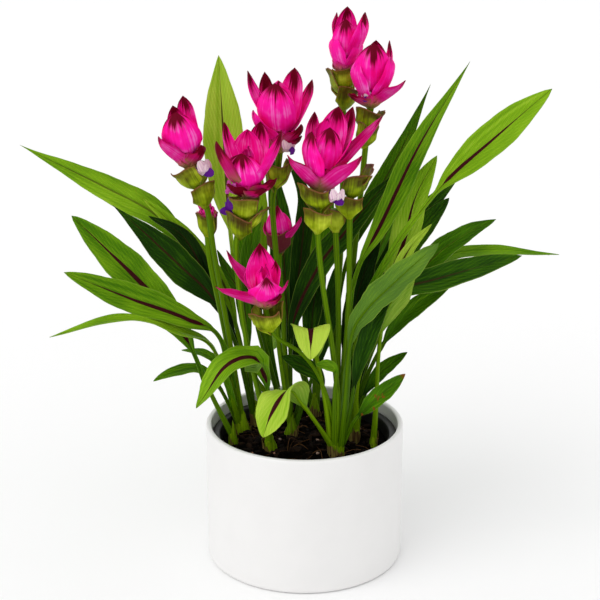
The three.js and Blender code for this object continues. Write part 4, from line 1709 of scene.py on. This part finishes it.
@dataclass(frozen=True)
class SoilBed:
    """The potting mix that fills the growing pot, its top crumbly, with loose bits on it. In millimetres."""

    edge: float = 58.2
    foot: float = 43.0
    bottom: float = 8.6
    edge_height: float = 84.0
    centre_height: float = 86.0
    sides: int = 96
    rings: int = 42
    bark: int = 330
    roots: int = 46
    grains: int = 26

    ROOT_GRID = (5, 8)
    CHIP_GRID = (6, 4)

    def height(self, x: float, y: float) -> float:
        """Measures the crumbly top.

        Args:
            x: The place's X in mm.
            y: The place's Y in mm.

        Returns:
            The top's height there, with its clods and crumbs.
        """
        away = math.hypot(x, y) / self.edge
        dome = self.centre_height - (self.centre_height - self.edge_height) * away * away
        swell = 0.9 * (math.sin(0.31 * x + 0.17 * y) + math.cos(0.23 * x - 0.37 * y))
        clods = 1.5 * noise.noise(Vector((x, y, 3.0)) / 9) + 0.8 * noise.noise(Vector((x, y, 7.0)) / 2.6)
        calm = 1 - ease((away - 0.9) / 0.1)
        return dome + calm * (swell + clods)

    def _bed(self) -> bmesh.types.BMesh:
        """Builds the bed itself.

        Returns:
            Its mesh, in metres.
        """
        outline = [(0, self.bottom), (self.foot, self.bottom), (self.edge, self.edge_height)]
        shares = [1 - k / self.rings for k in range(1, self.rings + 1)]
        outline += [(self.edge * share, self.edge_height + 1) for share in shares]
        mesh = spun(outline, self.sides)
        for point in mesh.verts:
            if point.co.z > (self.edge_height + 0.5) * MM:
                point.co.z = self.height(point.co.x / MM, point.co.y / MM) * MM
        return mesh

    def _litter(self) -> Tissue:
        """Strews bark, roots and light grains over the bed.

        Returns:
            Their mesh, in millimetres.
        """
        draw = random.Random("litter")
        tissue = Tissue()
        bits = [Bit.BARK] * self.bark + [Bit.ROOT] * self.roots + [Bit.GRAIN] * self.grains
        for kind in bits:
            reach = (self.edge - 5) * math.sqrt(draw.random())
            turn = draw.uniform(0, math.tau)
            x, y = reach * math.cos(turn), reach * math.sin(turn)
            size = (draw.uniform(1.2, 4.2), draw.uniform(0.45, 0.8), draw.uniform(0.7, 1.5))[kind.value]
            slim = (draw.uniform(0.35, 0.8), draw.uniform(12, 26), 0.9)[kind.value]
            self._bit(tissue, kind, (x, y), size, slim, draw)
        return tissue

    def _bit(
        self,
        tissue: Tissue,
        kind: Bit,
        place: tuple[float, float],
        size: float,
        slim: float,
        draw: random.Random,
    ) -> None:
        """Lays one bit: a chip or grain from a small ball, a root from a thin tube.

        Args:
            tissue: The litter's mesh.
            kind: Which kind of bit it is.
            place: Where it lies.
            size: A chip's half length or a root's thickness, in mm.
            slim: A chip's breadth by its length, or a root's length in mm.
            draw: The source of its other chances.
        """
        x, y = place
        shade = draw.random()
        spin = draw.uniform(0, math.tau)
        if kind is Bit.ROOT:
            half = slim / 2
            dx, dy = half * math.cos(spin), half * math.sin(spin)
            bow = draw.uniform(-0.4, 0.4)
            spots = [(x - dx, y - dy), (x - bow * dy, y + bow * dx), (x + dx, y + dy)]
            inside = [
                (px, py) if math.hypot(px, py) < self.edge - 3 else (0.8 * px, 0.8 * py) for px, py in spots
            ]
            rise = (0.1, draw.uniform(0.4, 2.2), 0.1)
            points = [(px, py, self.height(px, py) + up) for (px, py), up in zip(inside, rise)]
            route = Route(points, ((0, 0, 1),))

            def strand(across: float, along: float) -> Spot:
                """Bends the root, which thins towards its end."""
                at = route.station(along)
                turn = math.pi * across
                wide = 0.5 * size * (1 - 0.5 * along)
                return Spot(at.around(turn, wide), wide, wide)

            tissue.tube(*self.ROOT_GRID, strand, route.length, (shade, 0.0, 0.0), shade, kind)
            return
        tilt = Matrix.Rotation(draw.uniform(-0.6, 0.6), 3, "X") @ Matrix.Rotation(spin, 3, "Z")
        flat = 0.4 if kind is Bit.BARK else 0.8
        centre = Vector((x, y, self.height(x, y) + 0.25 * size * flat))

        def chip(across: float, along: float) -> Spot:
            """Bends the chip, a small uneven ball pressed flat."""
            turn = math.pi * across
            tall = math.cos(math.pi * along)
            wide = math.sin(math.pi * along) * (1 + 0.25 * math.sin(3 * turn + 9 * shade))
            shape = Vector((wide * math.cos(turn), slim * wide * math.sin(turn), -flat * tall))
            return Spot(centre + tilt @ (shape * size), wide, wide)

        tissue.tube(*self.CHIP_GRID, chip, size, (shade, 0.0, 0.0), shade, kind)

    def build(self, wardrobe: Wardrobe) -> list[bpy.types.Object]:
        """Builds the bed and its litter.

        Args:
            wardrobe: The finishes.

        Returns:
            Both pieces, in place of the soil's node.
        """
        bed = make_object("soil_bed", self._bed(), [wardrobe.soil])
        litter = self._litter().piece("soil_litter", wardrobe.litter)
        return [declare(piece, "soil") for piece in (bed, litter)]


# The shoots and heads, in millimetres: their routes were picked against the photograph


SHOOTS = (
    Shoot(
        "shoot_west",
        root=(-44.5, 15),
        radius=6,
        leaves=(
            Leaf(
                ((-58, 2, 159), (-81, -14, 181), (-121, -26, 201), (-159, -38, 222)),
                width=10, start=0.4, winged=0.25, shade=0.42, stripe=1.2,
            ),
            Leaf(
                ((-62, -2, 153), (-83, -20, 173), (-120, -40, 190), (-167, -60, 185)),
                width=8, start=0.28, faces=((-0.2, -0.3, 0.9),), drawn=0.8, wave=0.8, winged=0.2, shade=0.33,
                stripe=0.15,
            ),
            Leaf(
                ((-62, 13, 122), (-75, 12, 134), (-90, 8, 134), (-107, 2, 130)),
                width=5.5, faces=((0, -0.4, 0.9),), shade=0.5, stripe=0.2,
            ),
            Leaf(
                ((-60, 20, 130), (-71, 24, 141), (-89, 32, 142)),
                width=4, faces=((0, -0.3, 0.9),), shade=0.5, stripe=0.1,
            ),
        ),
        scapes=(
            Scape(
                ((-54, 10, 165), (-62, -4, 227), (-65, -8, 255), (-71, -9, 271), (-76, -10, 286)),
                cups=(Cup(-115, 11, 2, 11), Cup(-60, 10, -12, 10), Cup(70, 9, 0, 10)),
            ),
            Scape(
                ((-58, 14, 171), (-66, 12, 218), (-67, 12, 247)),
                cups=(Cup(-100, 6.5, 2, 7), Cup(80, 6, 0, 7)),
            ),
        ),
    ),
    Shoot(
        "leaf_west",
        root=(-50, -6),
        radius=3.2,
        leaves=(
            Leaf(
                ((-66, -7, 124), (-82, -6, 164), (-103, -2, 192), (-131, 4, 220), (-160, 10, 248)),
                width=13, start=0.34, winged=0.12, shade=0.44, stripe=1.4,
            ),
        ),
    ),
    Shoot(
        "shoot_west_back",
        root=(-34, 30),
        radius=6,
        leaves=(
            Leaf(
                ((-53, 44, 168), (-76, 52, 202), (-106, 60, 234), (-147, 66, 255.5), (-205, 74, 283)),
                width=10.5, start=0.46, drawn=1.3, shade=0.33, stripe=0.6,
            ),
            Leaf(
                ((-54, 38, 178), (-69, 42, 203), (-91, 46, 229), (-115, 50, 250)),
                width=6.2, shade=0.3, stripe=0.8,
            ),
            Leaf(
                ((-52, 30, 158), (-65, 32, 183), (-84, 34, 224), (-110, 36, 241)),
                width=6.5, shade=0.9, stripe=0.5,
            ),
            Leaf(
                ((-50, 24, 151), (-65, 24, 183.5), (-88, 25, 207.5), (-112, 28, 230.5), (-135, 32, 250)),
                width=11.5, start=0.45, faces=((0.25, -0.95, 0.1),), fold=0.06, drawn=1.4, shade=0.78,
                stripe=0.7,
            ),
            Leaf(
                ((-43, 32, 172), (-47, 32, 187), (-56, 31, 204), (-62, 30, 218)),
                width=5, shade=0.6, stripe=0.8,
            ),
        ),
    ),
    Shoot(
        "shoot_southwest",
        root=(-24, -17),
        radius=6,
        leaves=(
            Leaf(
                ((-25, -20, 124), (-28, -24, 146), (-37, -34, 160), (-54, -46, 157), (-72, -58, 133)),
                width=11, start=0.3, faces=((-0.5, -0.8, 0.3), (-0.4, -0.4, 0.8)), shade=0.38, stripe=1.8,
            ),
        ),
        scapes=(
            Scape(
                ((-34, -20, 139), (-42, -20, 182), (-46, -20, 234), (-41, -21, 252), (-38, -22, 268)),
                cups=(
                    Cup(-110, 11, 2, 12),
                    Cup(-25, 13, -4, 10),
                    Cup(-115, 10, -11, 11),
                    Cup(100, 10, -2, 11),
                ),
            ),
        ),
    ),
    Shoot(
        "shoot_north",
        root=(-14, 42),
        radius=6,
        leaves=(
            Leaf(
                ((-39, 44, 121), (-45, 48, 167), (-53, 52, 222), (-57, 56, 291), (-60, 60, 350)),
                width=14.8, start=0.53, drawn=0.35, winged=0.15, shade=0.16, stripe=0.9,
            ),
            Leaf(
                ((-25, 44, 137), (-29, 48, 182), (-35, 54, 240), (-41, 62, 294)),
                width=9, start=0.5, winged=0.42, shade=0.35, stripe=0.3,
            ),
            Leaf(
                ((-31, 38, 155), (-39, 38, 196), (-37, 40, 222), (-30, 44, 246)),
                width=7, start=0.4, shade=0.6, stripe=0.3,
            ),
            Leaf(((-34, 66, 143), (-41, 86, 193), (-48, 112, 260)), width=9, shade=0.5, stripe=0.6),
        ),
    ),
    Shoot(
        "shoot_centre",
        root=(-10, 8),
        radius=6,
        leaves=(
            Leaf(
                ((-10, 12, 126), (-8, 16, 168), (9, 19, 207), (28, 20, 233), (46, 20, 256), (61, 20, 274)),
                width=9, start=0.3, shade=0.75, stripe=0.9,
            ),
            Leaf(
                ((-10, 24, 138), (-6, 34, 182), (-2, 44, 214), (0, 50, 250), (-11, 54, 275)),
                width=7, shade=0.8, stripe=0.5,
            ),
            Leaf(
                ((3, 20, 138), (6, 24, 175), (10, 26, 204), (14, 28, 225)),
                width=7.5, shade=0.75, stripe=0.4,
            ),
            Leaf(
                ((4, 10, 124), (12, 14, 150), (18, 16, 176), (21, 18, 208)),
                width=6.5, shade=0.85, stripe=0.2,
            ),
        ),
        scapes=(
            Scape(
                ((-19, 8, 165), (-18, 9, 195), (-20, 9, 224), (-22, 9, 256), (-19, 8, 275), (-17, 8, 293)),
                cups=(Cup(-100, 8, -7, 9), Cup(170, 8, -11, 8), Cup(20, 9, -8, 8)),
            ),
            Scape(
                ((-14, 16, 147), (-15, 22, 175), (-17, 26, 193), (-18, 27, 209), (-18, 27, 226)),
                cups=(Cup(-90, 9, 7, 10, 0.55, 0.9), Cup(90, 9, 5, 10, 0.55, 0.9)),
            ),
        ),
    ),
    Shoot(
        "shoot_south",
        root=(22, -26),
        radius=6.5,
        leaves=(
            Leaf(
                ((20.5, -28, 130), (21.5, -31, 149), (15, -36, 155.5), (7, -39, 157)),
                width=4, start=0.72, shade=0.4, stripe=0.1,
            ),
            Leaf(
                ((14, -16, 126), (9, -13, 139), (-3, -12, 147), (-16, -14, 154)),
                width=6, start=0.5, shade=0.72, stripe=0.3,
            ),
            Leaf(
                (
                    (10, -33, 109), (-3, -42, 132), (-10, -48, 142),
                    (-18, -55, 136), (-24, -58, 125), (-28, -60, 113),
                ),
                width=13, start=0.4, faces=((1.5, 2, 0), (0.5, 1.5, 0.3), (-0.3, 0.1, 0.55), (-0.1, -2, 0.6)),
                shade=0.14, stripe=1.6,
            ),
            Leaf(
                ((14, -26, 126), (8, -28, 158), (4, -33, 178), (4, -41, 182), (4, -46, 176), (4, -51, 165)),
                width=12.5, start=0.56, faces=((0, 3, 0), (0, -1, 1)), shade=0.02, stripe=1.9,
            ),
            Leaf(
                ((28, -28, 127), (31, -32, 172), (40, -37, 194), (62, -42, 219), (87, -50, 246)),
                width=9, start=0.42, faces=((0, 0.95, -0.2),), wave=1, ragged=0.1, winged=0.34, shade=0.5,
                stripe=0.1,
            ),
            Leaf(
                (
                    (29, -22, 125), (35, -18, 154), (47, -12, 172),
                    (63, -8, 198), (92, -10, 209), (145, -22, 229),
                ),
                width=9.5, start=0.45, winged=0.3, shade=0.7, stripe=0.6,
            ),
            Leaf(
                ((30, -26, 101), (35, -29, 113), (44, -33, 125), (55, -37, 137), (68, -40, 151)),
                width=6.2, shade=0.58, stripe=0.3, age=0.9,
            ),
            Leaf(
                ((31, -27, 118), (36, -29, 150), (42, -31, 173), (51, -33, 195), (60, -35, 212)),
                width=6.5, shade=0.75, stripe=0,
            ),
        ),
        scapes=(
            Scape(
                (
                    (23, -26, 126), (19, -25, 162), (12, -24, 209),
                    (9, -24, 238), (9, -24, 257), (10, -24, 276),
                ),
                cups=(Cup(-115, 13, 2, 12), Cup(-95, 10, -14, 10.5), Cup(90, 10, -3, 11)),
            ),
            Scape(
                ((28, -20, 161), (30, -14, 195), (30, -12, 245), (30, -12, 264), (30, -12, 279)),
                cups=(Cup(-60, 12, 3.5, 12, 0.5, 0.1), Cup(10, 14, 8, 11, 0.6, 0.25), Cup(-100, 10, -10, 11)),
            ),
            Scape(
                ((23, -18, 153), (23, -10, 194), (21, -4, 241), (20, -4, 257)),
                cups=(Cup(-100, 7, 0, 8), Cup(80, 7, -1, 8)),
            ),
            Scape(
                (
                    (18, -26, 119), (9, -29, 146), (-3, -34, 164),
                    (-19, -42, 178), (-24, -45, 191), (-26, -46, 200),
                ),
                cups=(Cup(-95, 11, 0, 11), Cup(50, 10, 0, 10), Cup(165, 10, -2, 9)),
                radius=1.4,
            ),
        ),
    ),
    Shoot(
        "shoot_east",
        root=(34, 2),
        radius=6,
        leaves=(
            Leaf(
                ((32, 4, 137), (31, 5, 181), (38, 6, 214), (52, 9, 241), (78, 18, 295), (112, 28, 351)),
                width=8.2, start=0.42, drawn=1.2, winged=0.3, shade=0.42, stripe=1.1,
            ),
            Leaf(
                (
                    (34, 2, 130), (40, 1, 182), (58, 0, 222), (74, -2, 248),
                    (97, -8, 279), (131, -22, 315), (157, -34, 343),
                ),
                width=11.5, start=0.64, winged=0.3, shade=0.31, stripe=1.1,
            ),
            Leaf(
                ((37, 10, 134), (53, 14, 186), (68, 16, 224), (76, 18, 258), (91, 23, 287)),
                width=10, start=0.5, winged=0.3, shade=0.2, stripe=1.2,
            ),
            Leaf(
                ((38, 0, 132), (56, 1, 186), (69, -4, 224), (86, -8, 247)),
                width=4.6, start=0.5, shade=0.1, stripe=0.9,
            ),
            Leaf(
                ((38, 6, 128), (58, 8, 178), (85, 8, 214), (107, 5, 234), (130, 0, 248)),
                width=8, start=0.48, ragged=0.07, winged=0.3, shade=0.6, stripe=0.6,
            ),
            Leaf(
                ((41, 10, 127), (62, 16, 177), (95, 20, 212), (132, 14, 221), (175, 4, 221)),
                width=6, start=0.4, faces=((0, -0.4, 0.9),), drawn=0.6, shade=0.42, stripe=0,
            ),
            Leaf(
                ((42, 4, 125), (54, 6, 153), (66, 7, 171), (82, 7, 186), (102, 4, 200)),
                width=6.5, start=0.5, shade=0.55, stripe=0.1,
            ),
            Leaf(
                ((41, 2, 115), (50, 1, 132), (61, -2, 144), (72, -6, 154)),
                width=5, shade=0.62, stripe=0.3,
            ),
            Leaf(
                ((38, 14, 122), (44, 19, 150), (52, 22, 177), (60, 25, 200)),
                width=7, shade=0.9, stripe=0.2,
            ),
        ),
    ),
    Shoot(
        "shoot_east_back",
        root=(28, 30),
        radius=6,
        leaves=(
            Leaf(
                ((22, 40, 139), (29, 48, 197), (46, 55, 240), (70, 62, 285), (89, 66, 329)),
                width=7.3, start=0.45, drawn=1.2, shade=0.55, stripe=0.5,
            ),
            Leaf(
                ((42, 42, 153), (62, 48, 194), (82, 54, 223), (104, 60, 248)),
                width=8.5, start=0.54, shade=0.68, stripe=0.3,
            ),
            Leaf(
                ((41, 50, 158), (66, 58, 209), (91, 64, 241), (111, 70, 260)),
                width=8, shade=0.7, stripe=0.2,
            ),
            Leaf(((34, 66, 153), (49, 84, 186), (80, 112, 248)), width=10, shade=0.5, stripe=0.5),
            Leaf(
                ((28, 28, 120), (31, 26, 150), (37, 29, 180), (44, 31, 205), (54, 33, 228)),
                width=8.5, start=0.3, shade=0.9, stripe=0.3,
            ),
        ),
        scapes=(
            Scape(
                ((22, 38, 139), (26, 44, 213), (27, 48, 278), (27, 50, 308), (27, 50, 323), (28, 50, 338)),
                cups=(Cup(-90, 9, 5, 11), Cup(195, 11, 3, 8), Cup(-60, 9, -8, 10), Cup(100, 9, -2, 10)),
            ),
            Scape(
                ((29, 34, 141), (35, 34, 209), (40, 32, 268), (42, 30, 293), (43, 30, 306), (45, 30, 319)),
                cups=(Cup(-100, 9.5, -1, 9.5), Cup(10, 8.5, -2, 8), Cup(-90, 8.5, -11, 8)),
            ),
        ),
    ),
    Shoot(
        "leaf_east",
        root=(48.5, -8),
        radius=3.4,
        leaves=(
            Leaf(
                ((50, -14, 120), (51, -18, 160), (54, -21, 185), (64, -25, 206), (73, -29, 220)),
                width=9.5, start=0.6, faces=((0.3, 0.8, 0.4),), shade=0.2, stripe=0,
            ),
        ),
    ),
    Shoot(
        "shoot_back",
        root=(8, 44),
        radius=5.5,
        leaves=(
            Leaf(
                ((-11, 66, 145), (-16, 90, 200), (-28, 116, 290)),
                width=11, start=0.15, drawn=1.6, shade=0.72, stripe=0.6,
            ),
            Leaf(((8, 66, 145), (10, 84, 194), (15, 108, 280)), width=10, shade=0.5, stripe=0.7),
            Leaf(
                ((-4, 62, 128), (-12, 80, 138), (-18, 97, 133), (-24, 110, 114)),
                width=10, faces=((0, -0.8, 0.6), (0, 0.9, 0.5)), shade=0.4, stripe=0.5,
            ),
            Leaf(
                ((14, 62, 130), (22, 80, 140), (28, 98, 134), (33, 112, 116)),
                width=10, faces=((0, -0.8, 0.6), (0, 0.9, 0.5)), shade=0.45, stripe=0.5,
            ),
        ),
    ),
)

HEADS = (
    Head(
        "head_northeast",
        foot=(28, 50, 338),
        lean=(0.03, 0),
        bracts=(
            Bract(95, 2, 47, 9.5, 3, 5, Bloom.FLAMED),
            Bract(-100, 6, 39, 11, 4, 4.5, Bloom.FLAMED),
            Bract(150, 9, 42, 6, 4, 3, Bloom.OUTER),
            Bract(35, 16, 42, 8.5, 3, 3, Bloom.FLAMED),
            Bract(-45, 14, 38, 8.5, 4, 3, Bloom.PLAIN),
            Bract(-150, 9, 28, 11, 0, 4.5, Bloom.PLAIN),
            Bract(-30, 9, 26, 11, 0, 4.5, Bloom.PLAIN),
        ),
        pointed=0.4,
    ),
    Head(
        "head_east",
        foot=(45, 30, 319),
        lean=(0.02, 0),
        bracts=(
            Bract(-88, 7, 45, 15.5, 6, 6.5, Bloom.FLAMED),
            Bract(70, 8, 45, 10, 4, 4.5, Bloom.FLAMED),
            Bract(20, 13, 45, 7.5, 4, 4, Bloom.FLAMED),
            Bract(-30, 14, 36, 11, 2, 5.5, Bloom.PLAIN),
            Bract(-150, 12, 34, 10, 2, 5.5, Bloom.PLAIN),
            Bract(-30, 26, 20, 10, 0, 1.5, Bloom.OUTER),
            Bract(-145, 19, 10, 9, -0.5, 1, Bloom.DULL),
            Bract(95, 11, 38, 12, 2, 4.5, Bloom.PLAIN),
        ),
        pointed=0.3,
        florets=(Floret(-115, 8, 7, 6),),
    ),
    Head(
        "head_north",
        foot=(-17, 8, 293),
        lean=(-0.02, 0),
        bracts=(
            Bract(-105, 8, 48, 16, 7, 6.5, Bloom.FLAMED),
            Bract(155, 23, 53, 7.5, 6, 2, Bloom.FLAMED),
            Bract(118, 20, 51, 7.5, 4, 3, Bloom.DULL),
            Bract(52, 19, 54, 13, 5, 4.5, Bloom.FLAMED),
            Bract(25, 26, 46, 10, 4, 3.5, Bloom.FLAMED),
            Bract(-150, 20, 30, 10, 2, 3.5, Bloom.PLAIN),
            Bract(-35, 19, 20, 10.5, 1, 3.5, Bloom.DULL),
            Bract(-25, 17, 11, 9, 0, 1.5, Bloom.DULL),
            Bract(90, 14, 46, 13, 3, 4.5, Bloom.PLAIN),
        ),
        pointed=0.3,
        florets=(Floret(-55, 11, 3, 8),),
    ),
    Head(
        "head_south",
        foot=(10, -24, 276),
        lean=(0.12, 0),
        bracts=(
            Bract(-145, 13, 38, 12.5, 0, 5.5, Bloom.FLAMED),
            Bract(140, 13, 48, 10, 5, 4.5, Bloom.FLAMED),
            Bract(60, 12, 53, 12.5, 6, 3.5, Bloom.FLAMED),
            Bract(30, 18, 54, 13, 4, 4.5, Bloom.FLAMED),
            Bract(-80, 7, 42, 12.5, 1, 4.5, Bloom.FLAMED),
            Bract(10, 36, 50, 11, 0, 1, Bloom.OUTER),
            Bract(-35, 29, 27, 13, -5, 2.5, Bloom.OUTER),
            Bract(-160, 26, 20, 12.5, -4, 1.5, Bloom.OUTER),
            Bract(90, 13, 44, 12.5, 3, 4.5, Bloom.PLAIN),
        ),
        pointed=0.3,
        florets=(Floret(-48, 17, -4, 8),),
    ),
    Head(
        "head_west",
        foot=(-76, -10, 286),
        lean=(-0.2, 0),
        bracts=(
            Bract(-95, 8, 40, 16, 4, 6.5, Bloom.FLAMED),
            Bract(55, 9, 47, 11, 4, 3.5, Bloom.FLAMED),
            Bract(115, 8, 42, 8.5, 4, 3, Bloom.FLAMED),
            Bract(-150, 18, 26, 11, 0.5, 3.5, Bloom.OUTER),
            Bract(-35, 14, 15, 11, -0.5, 3.5, Bloom.DULL),
            Bract(90, 10, 36, 12, 2, 4.5, Bloom.PLAIN),
        ),
        pointed=0.3,
        florets=(Floret(-38, 13, -3, 9),),
    ),
    Head(
        "head_southwest",
        foot=(-38, -22, 268),
        lean=(0, 0),
        bracts=(
            Bract(-105, 12, 33, 16.5, 3, 5.5, Bloom.FLAMED),
            Bract(-155, 22, 40, 11.5, 2, 3.5, Bloom.DULL),
            Bract(150, 18, 49, 8, 4, 2, Bloom.FLAMED),
            Bract(55, 16, 49, 11.5, 4, 4.5, Bloom.FLAMED),
            Bract(-20, 25, 47, 11, 3, 3.5, Bloom.FLAMED),
            Bract(-25, 22, 15, 10.5, -0.5, 2.5, Bloom.DULL),
            Bract(-50, 17, 9, 10.5, -0.5, 2.5, Bloom.DULL),
            Bract(90, 13, 44, 12.5, 3, 4.5, Bloom.PLAIN),
        ),
        pointed=0.2,
        florets=(
            Floret(-140, 13, 7.5, 6.5, magenta=0.9, pouch=9),
            Floret(-168, 12, -7, 8.5, violet=0.8),
        ),
    ),
    Head(
        "head_low",
        foot=(-26, -46, 200),
        lean=(-0.03, 0),
        bracts=(
            Bract(105, 10, 42, 13, 3, 3.5, Bloom.FLAMED),
            Bract(150, 29, 35, 7.5, 2, 1, Bloom.OUTER),
            Bract(-165, 33, 17, 9.5, 0.5, 1, Bloom.OUTER),
            Bract(35, 10, 31, 9.5, 2, 3, Bloom.FLAMED),
            Bract(-82, 13, 25, 14, 1, 4.5, Bloom.FLAMED),
            Bract(-25, 18, 20, 7.5, 1, 1, Bloom.OUTER),
            Bract(-35, 13, 11, 8.5, -0.5, 2, Bloom.DULL),
            Bract(135, 17, 24, 9.5, 0, 3, Bloom.PLAIN),
        ),
        pointed=1,
    ),
    Head(
        "head_middle",
        foot=(-18, 27, 226),
        lean=(0, 0),
        bracts=(
            Bract(-105, 4, 26, 9.5, -6, 3.5, Bloom.FLAMED),
            Bract(165, 11, 12, 8.5, -6, 2, Bloom.OUTER),
            Bract(-25, 18, 18, 8.5, -6, 1.5, Bloom.OUTER),
            Bract(90, 6, 20, 10, 0.5, 3.5, Bloom.PLAIN),
        ),
        pointed=0.8,
    ),
    Head(
        "head_bud",
        foot=(-67, 12, 247),
        lean=(0, 0),
        bracts=(
            Bract(180, 6, 11, 4, 0, 1, Bloom.OUTER),
            Bract(0, 4.5, 7, 4.5, 0, 1, Bloom.PLAIN),
            Bract(-90, 3, 6, 5, 0, 1, Bloom.PLAIN),
        ),
    ),
)


# Studio


@dataclass(frozen=True)
class Studio:
    """A pale seamless floor under one broad soft light from the upper left, seen as in the photograph."""

    floor_radius: float = 7.0
    floor_drop: float = 0.0001
    surround: str = "ffffff"
    fill: float = 0.9
    sun_from: Point = (-0.55, -0.45, 0.75)
    sun_strength: float = 0.78
    sun_softness: float = 50.0
    camera_place: Point = (-0.0032, -0.952, 0.5037)
    camera_tilt: float = 71.77
    lens: float = 86.93
    sensor: float = 36.0

    def floor(self) -> None:
        """Lays the floor."""
        mesh = bmesh.new()
        bmesh.ops.create_circle(mesh, cap_ends=True, segments=64, radius=self.floor_radius)
        bmesh.ops.translate(mesh, vec=(0, 0, -self.floor_drop), verts=mesh.verts)
        make_object("studio_floor", mesh, [StudioPaper().material()])

    def light(self) -> None:
        """Sets the even surround and the lamp."""
        world = bpy.data.worlds.new("studio_surround")
        world.use_nodes = True
        surround = world.node_tree.nodes["Background"]
        surround.inputs["Color"].default_value = linear(self.surround)
        surround.inputs["Strength"].default_value = self.fill
        bpy.context.scene.world = world
        sun = bpy.data.lights.new("studio_softbox", "SUN")
        sun.energy = self.sun_strength
        sun.angle = math.radians(self.sun_softness)
        holder = bpy.data.objects.new("studio_softbox", sun)
        holder.location = self.sun_from
        holder.rotation_euler = Vector(self.sun_from).to_track_quat("Z", "Y").to_euler()
        bpy.context.scene.collection.objects.link(holder)

    def camera(self) -> None:
        """Places the camera where the photograph's stood."""
        camera = bpy.data.cameras.new("photo_camera")
        camera.lens = self.lens
        camera.sensor_width = self.sensor
        holder = bpy.data.objects.new("photo_camera", camera)
        holder.location = self.camera_place
        holder.rotation_euler = (math.radians(self.camera_tilt), 0, 0)
        bpy.context.scene.collection.objects.link(holder)
        bpy.context.scene.camera = holder


def report(pieces: Sequence[bpy.types.Object]) -> None:
    """Logs each piece's triangles.

    Args:
        pieces: Every finished piece.
    """
    total = 0
    for piece in pieces:
        triangles = sum(len(face.vertices) - 2 for face in piece.data.polygons)
        total += triangles
        LOG.info("%s: %d triangles", piece.name, triangles)
    LOG.info("%d pieces, %d triangles", len(pieces), total)


def main() -> None:
    """Builds the classes in order, and reports each piece."""
    logging.basicConfig(level=logging.INFO, format="%(name)s: %(message)s")
    wardrobe = Wardrobe.cut()
    pieces = [CoverPot().build(wardrobe), NurseryPot().build(wardrobe), *SoilBed().build(wardrobe)]
    pieces += [grown.build(wardrobe) for grown in (*SHOOTS, *HEADS)]
    studio = Studio()
    studio.floor()
    studio.light()
    studio.camera()
    bpy.context.scene.view_settings.view_transform = "Standard"
    report(pieces)


if __name__ == "__main__":
    main()
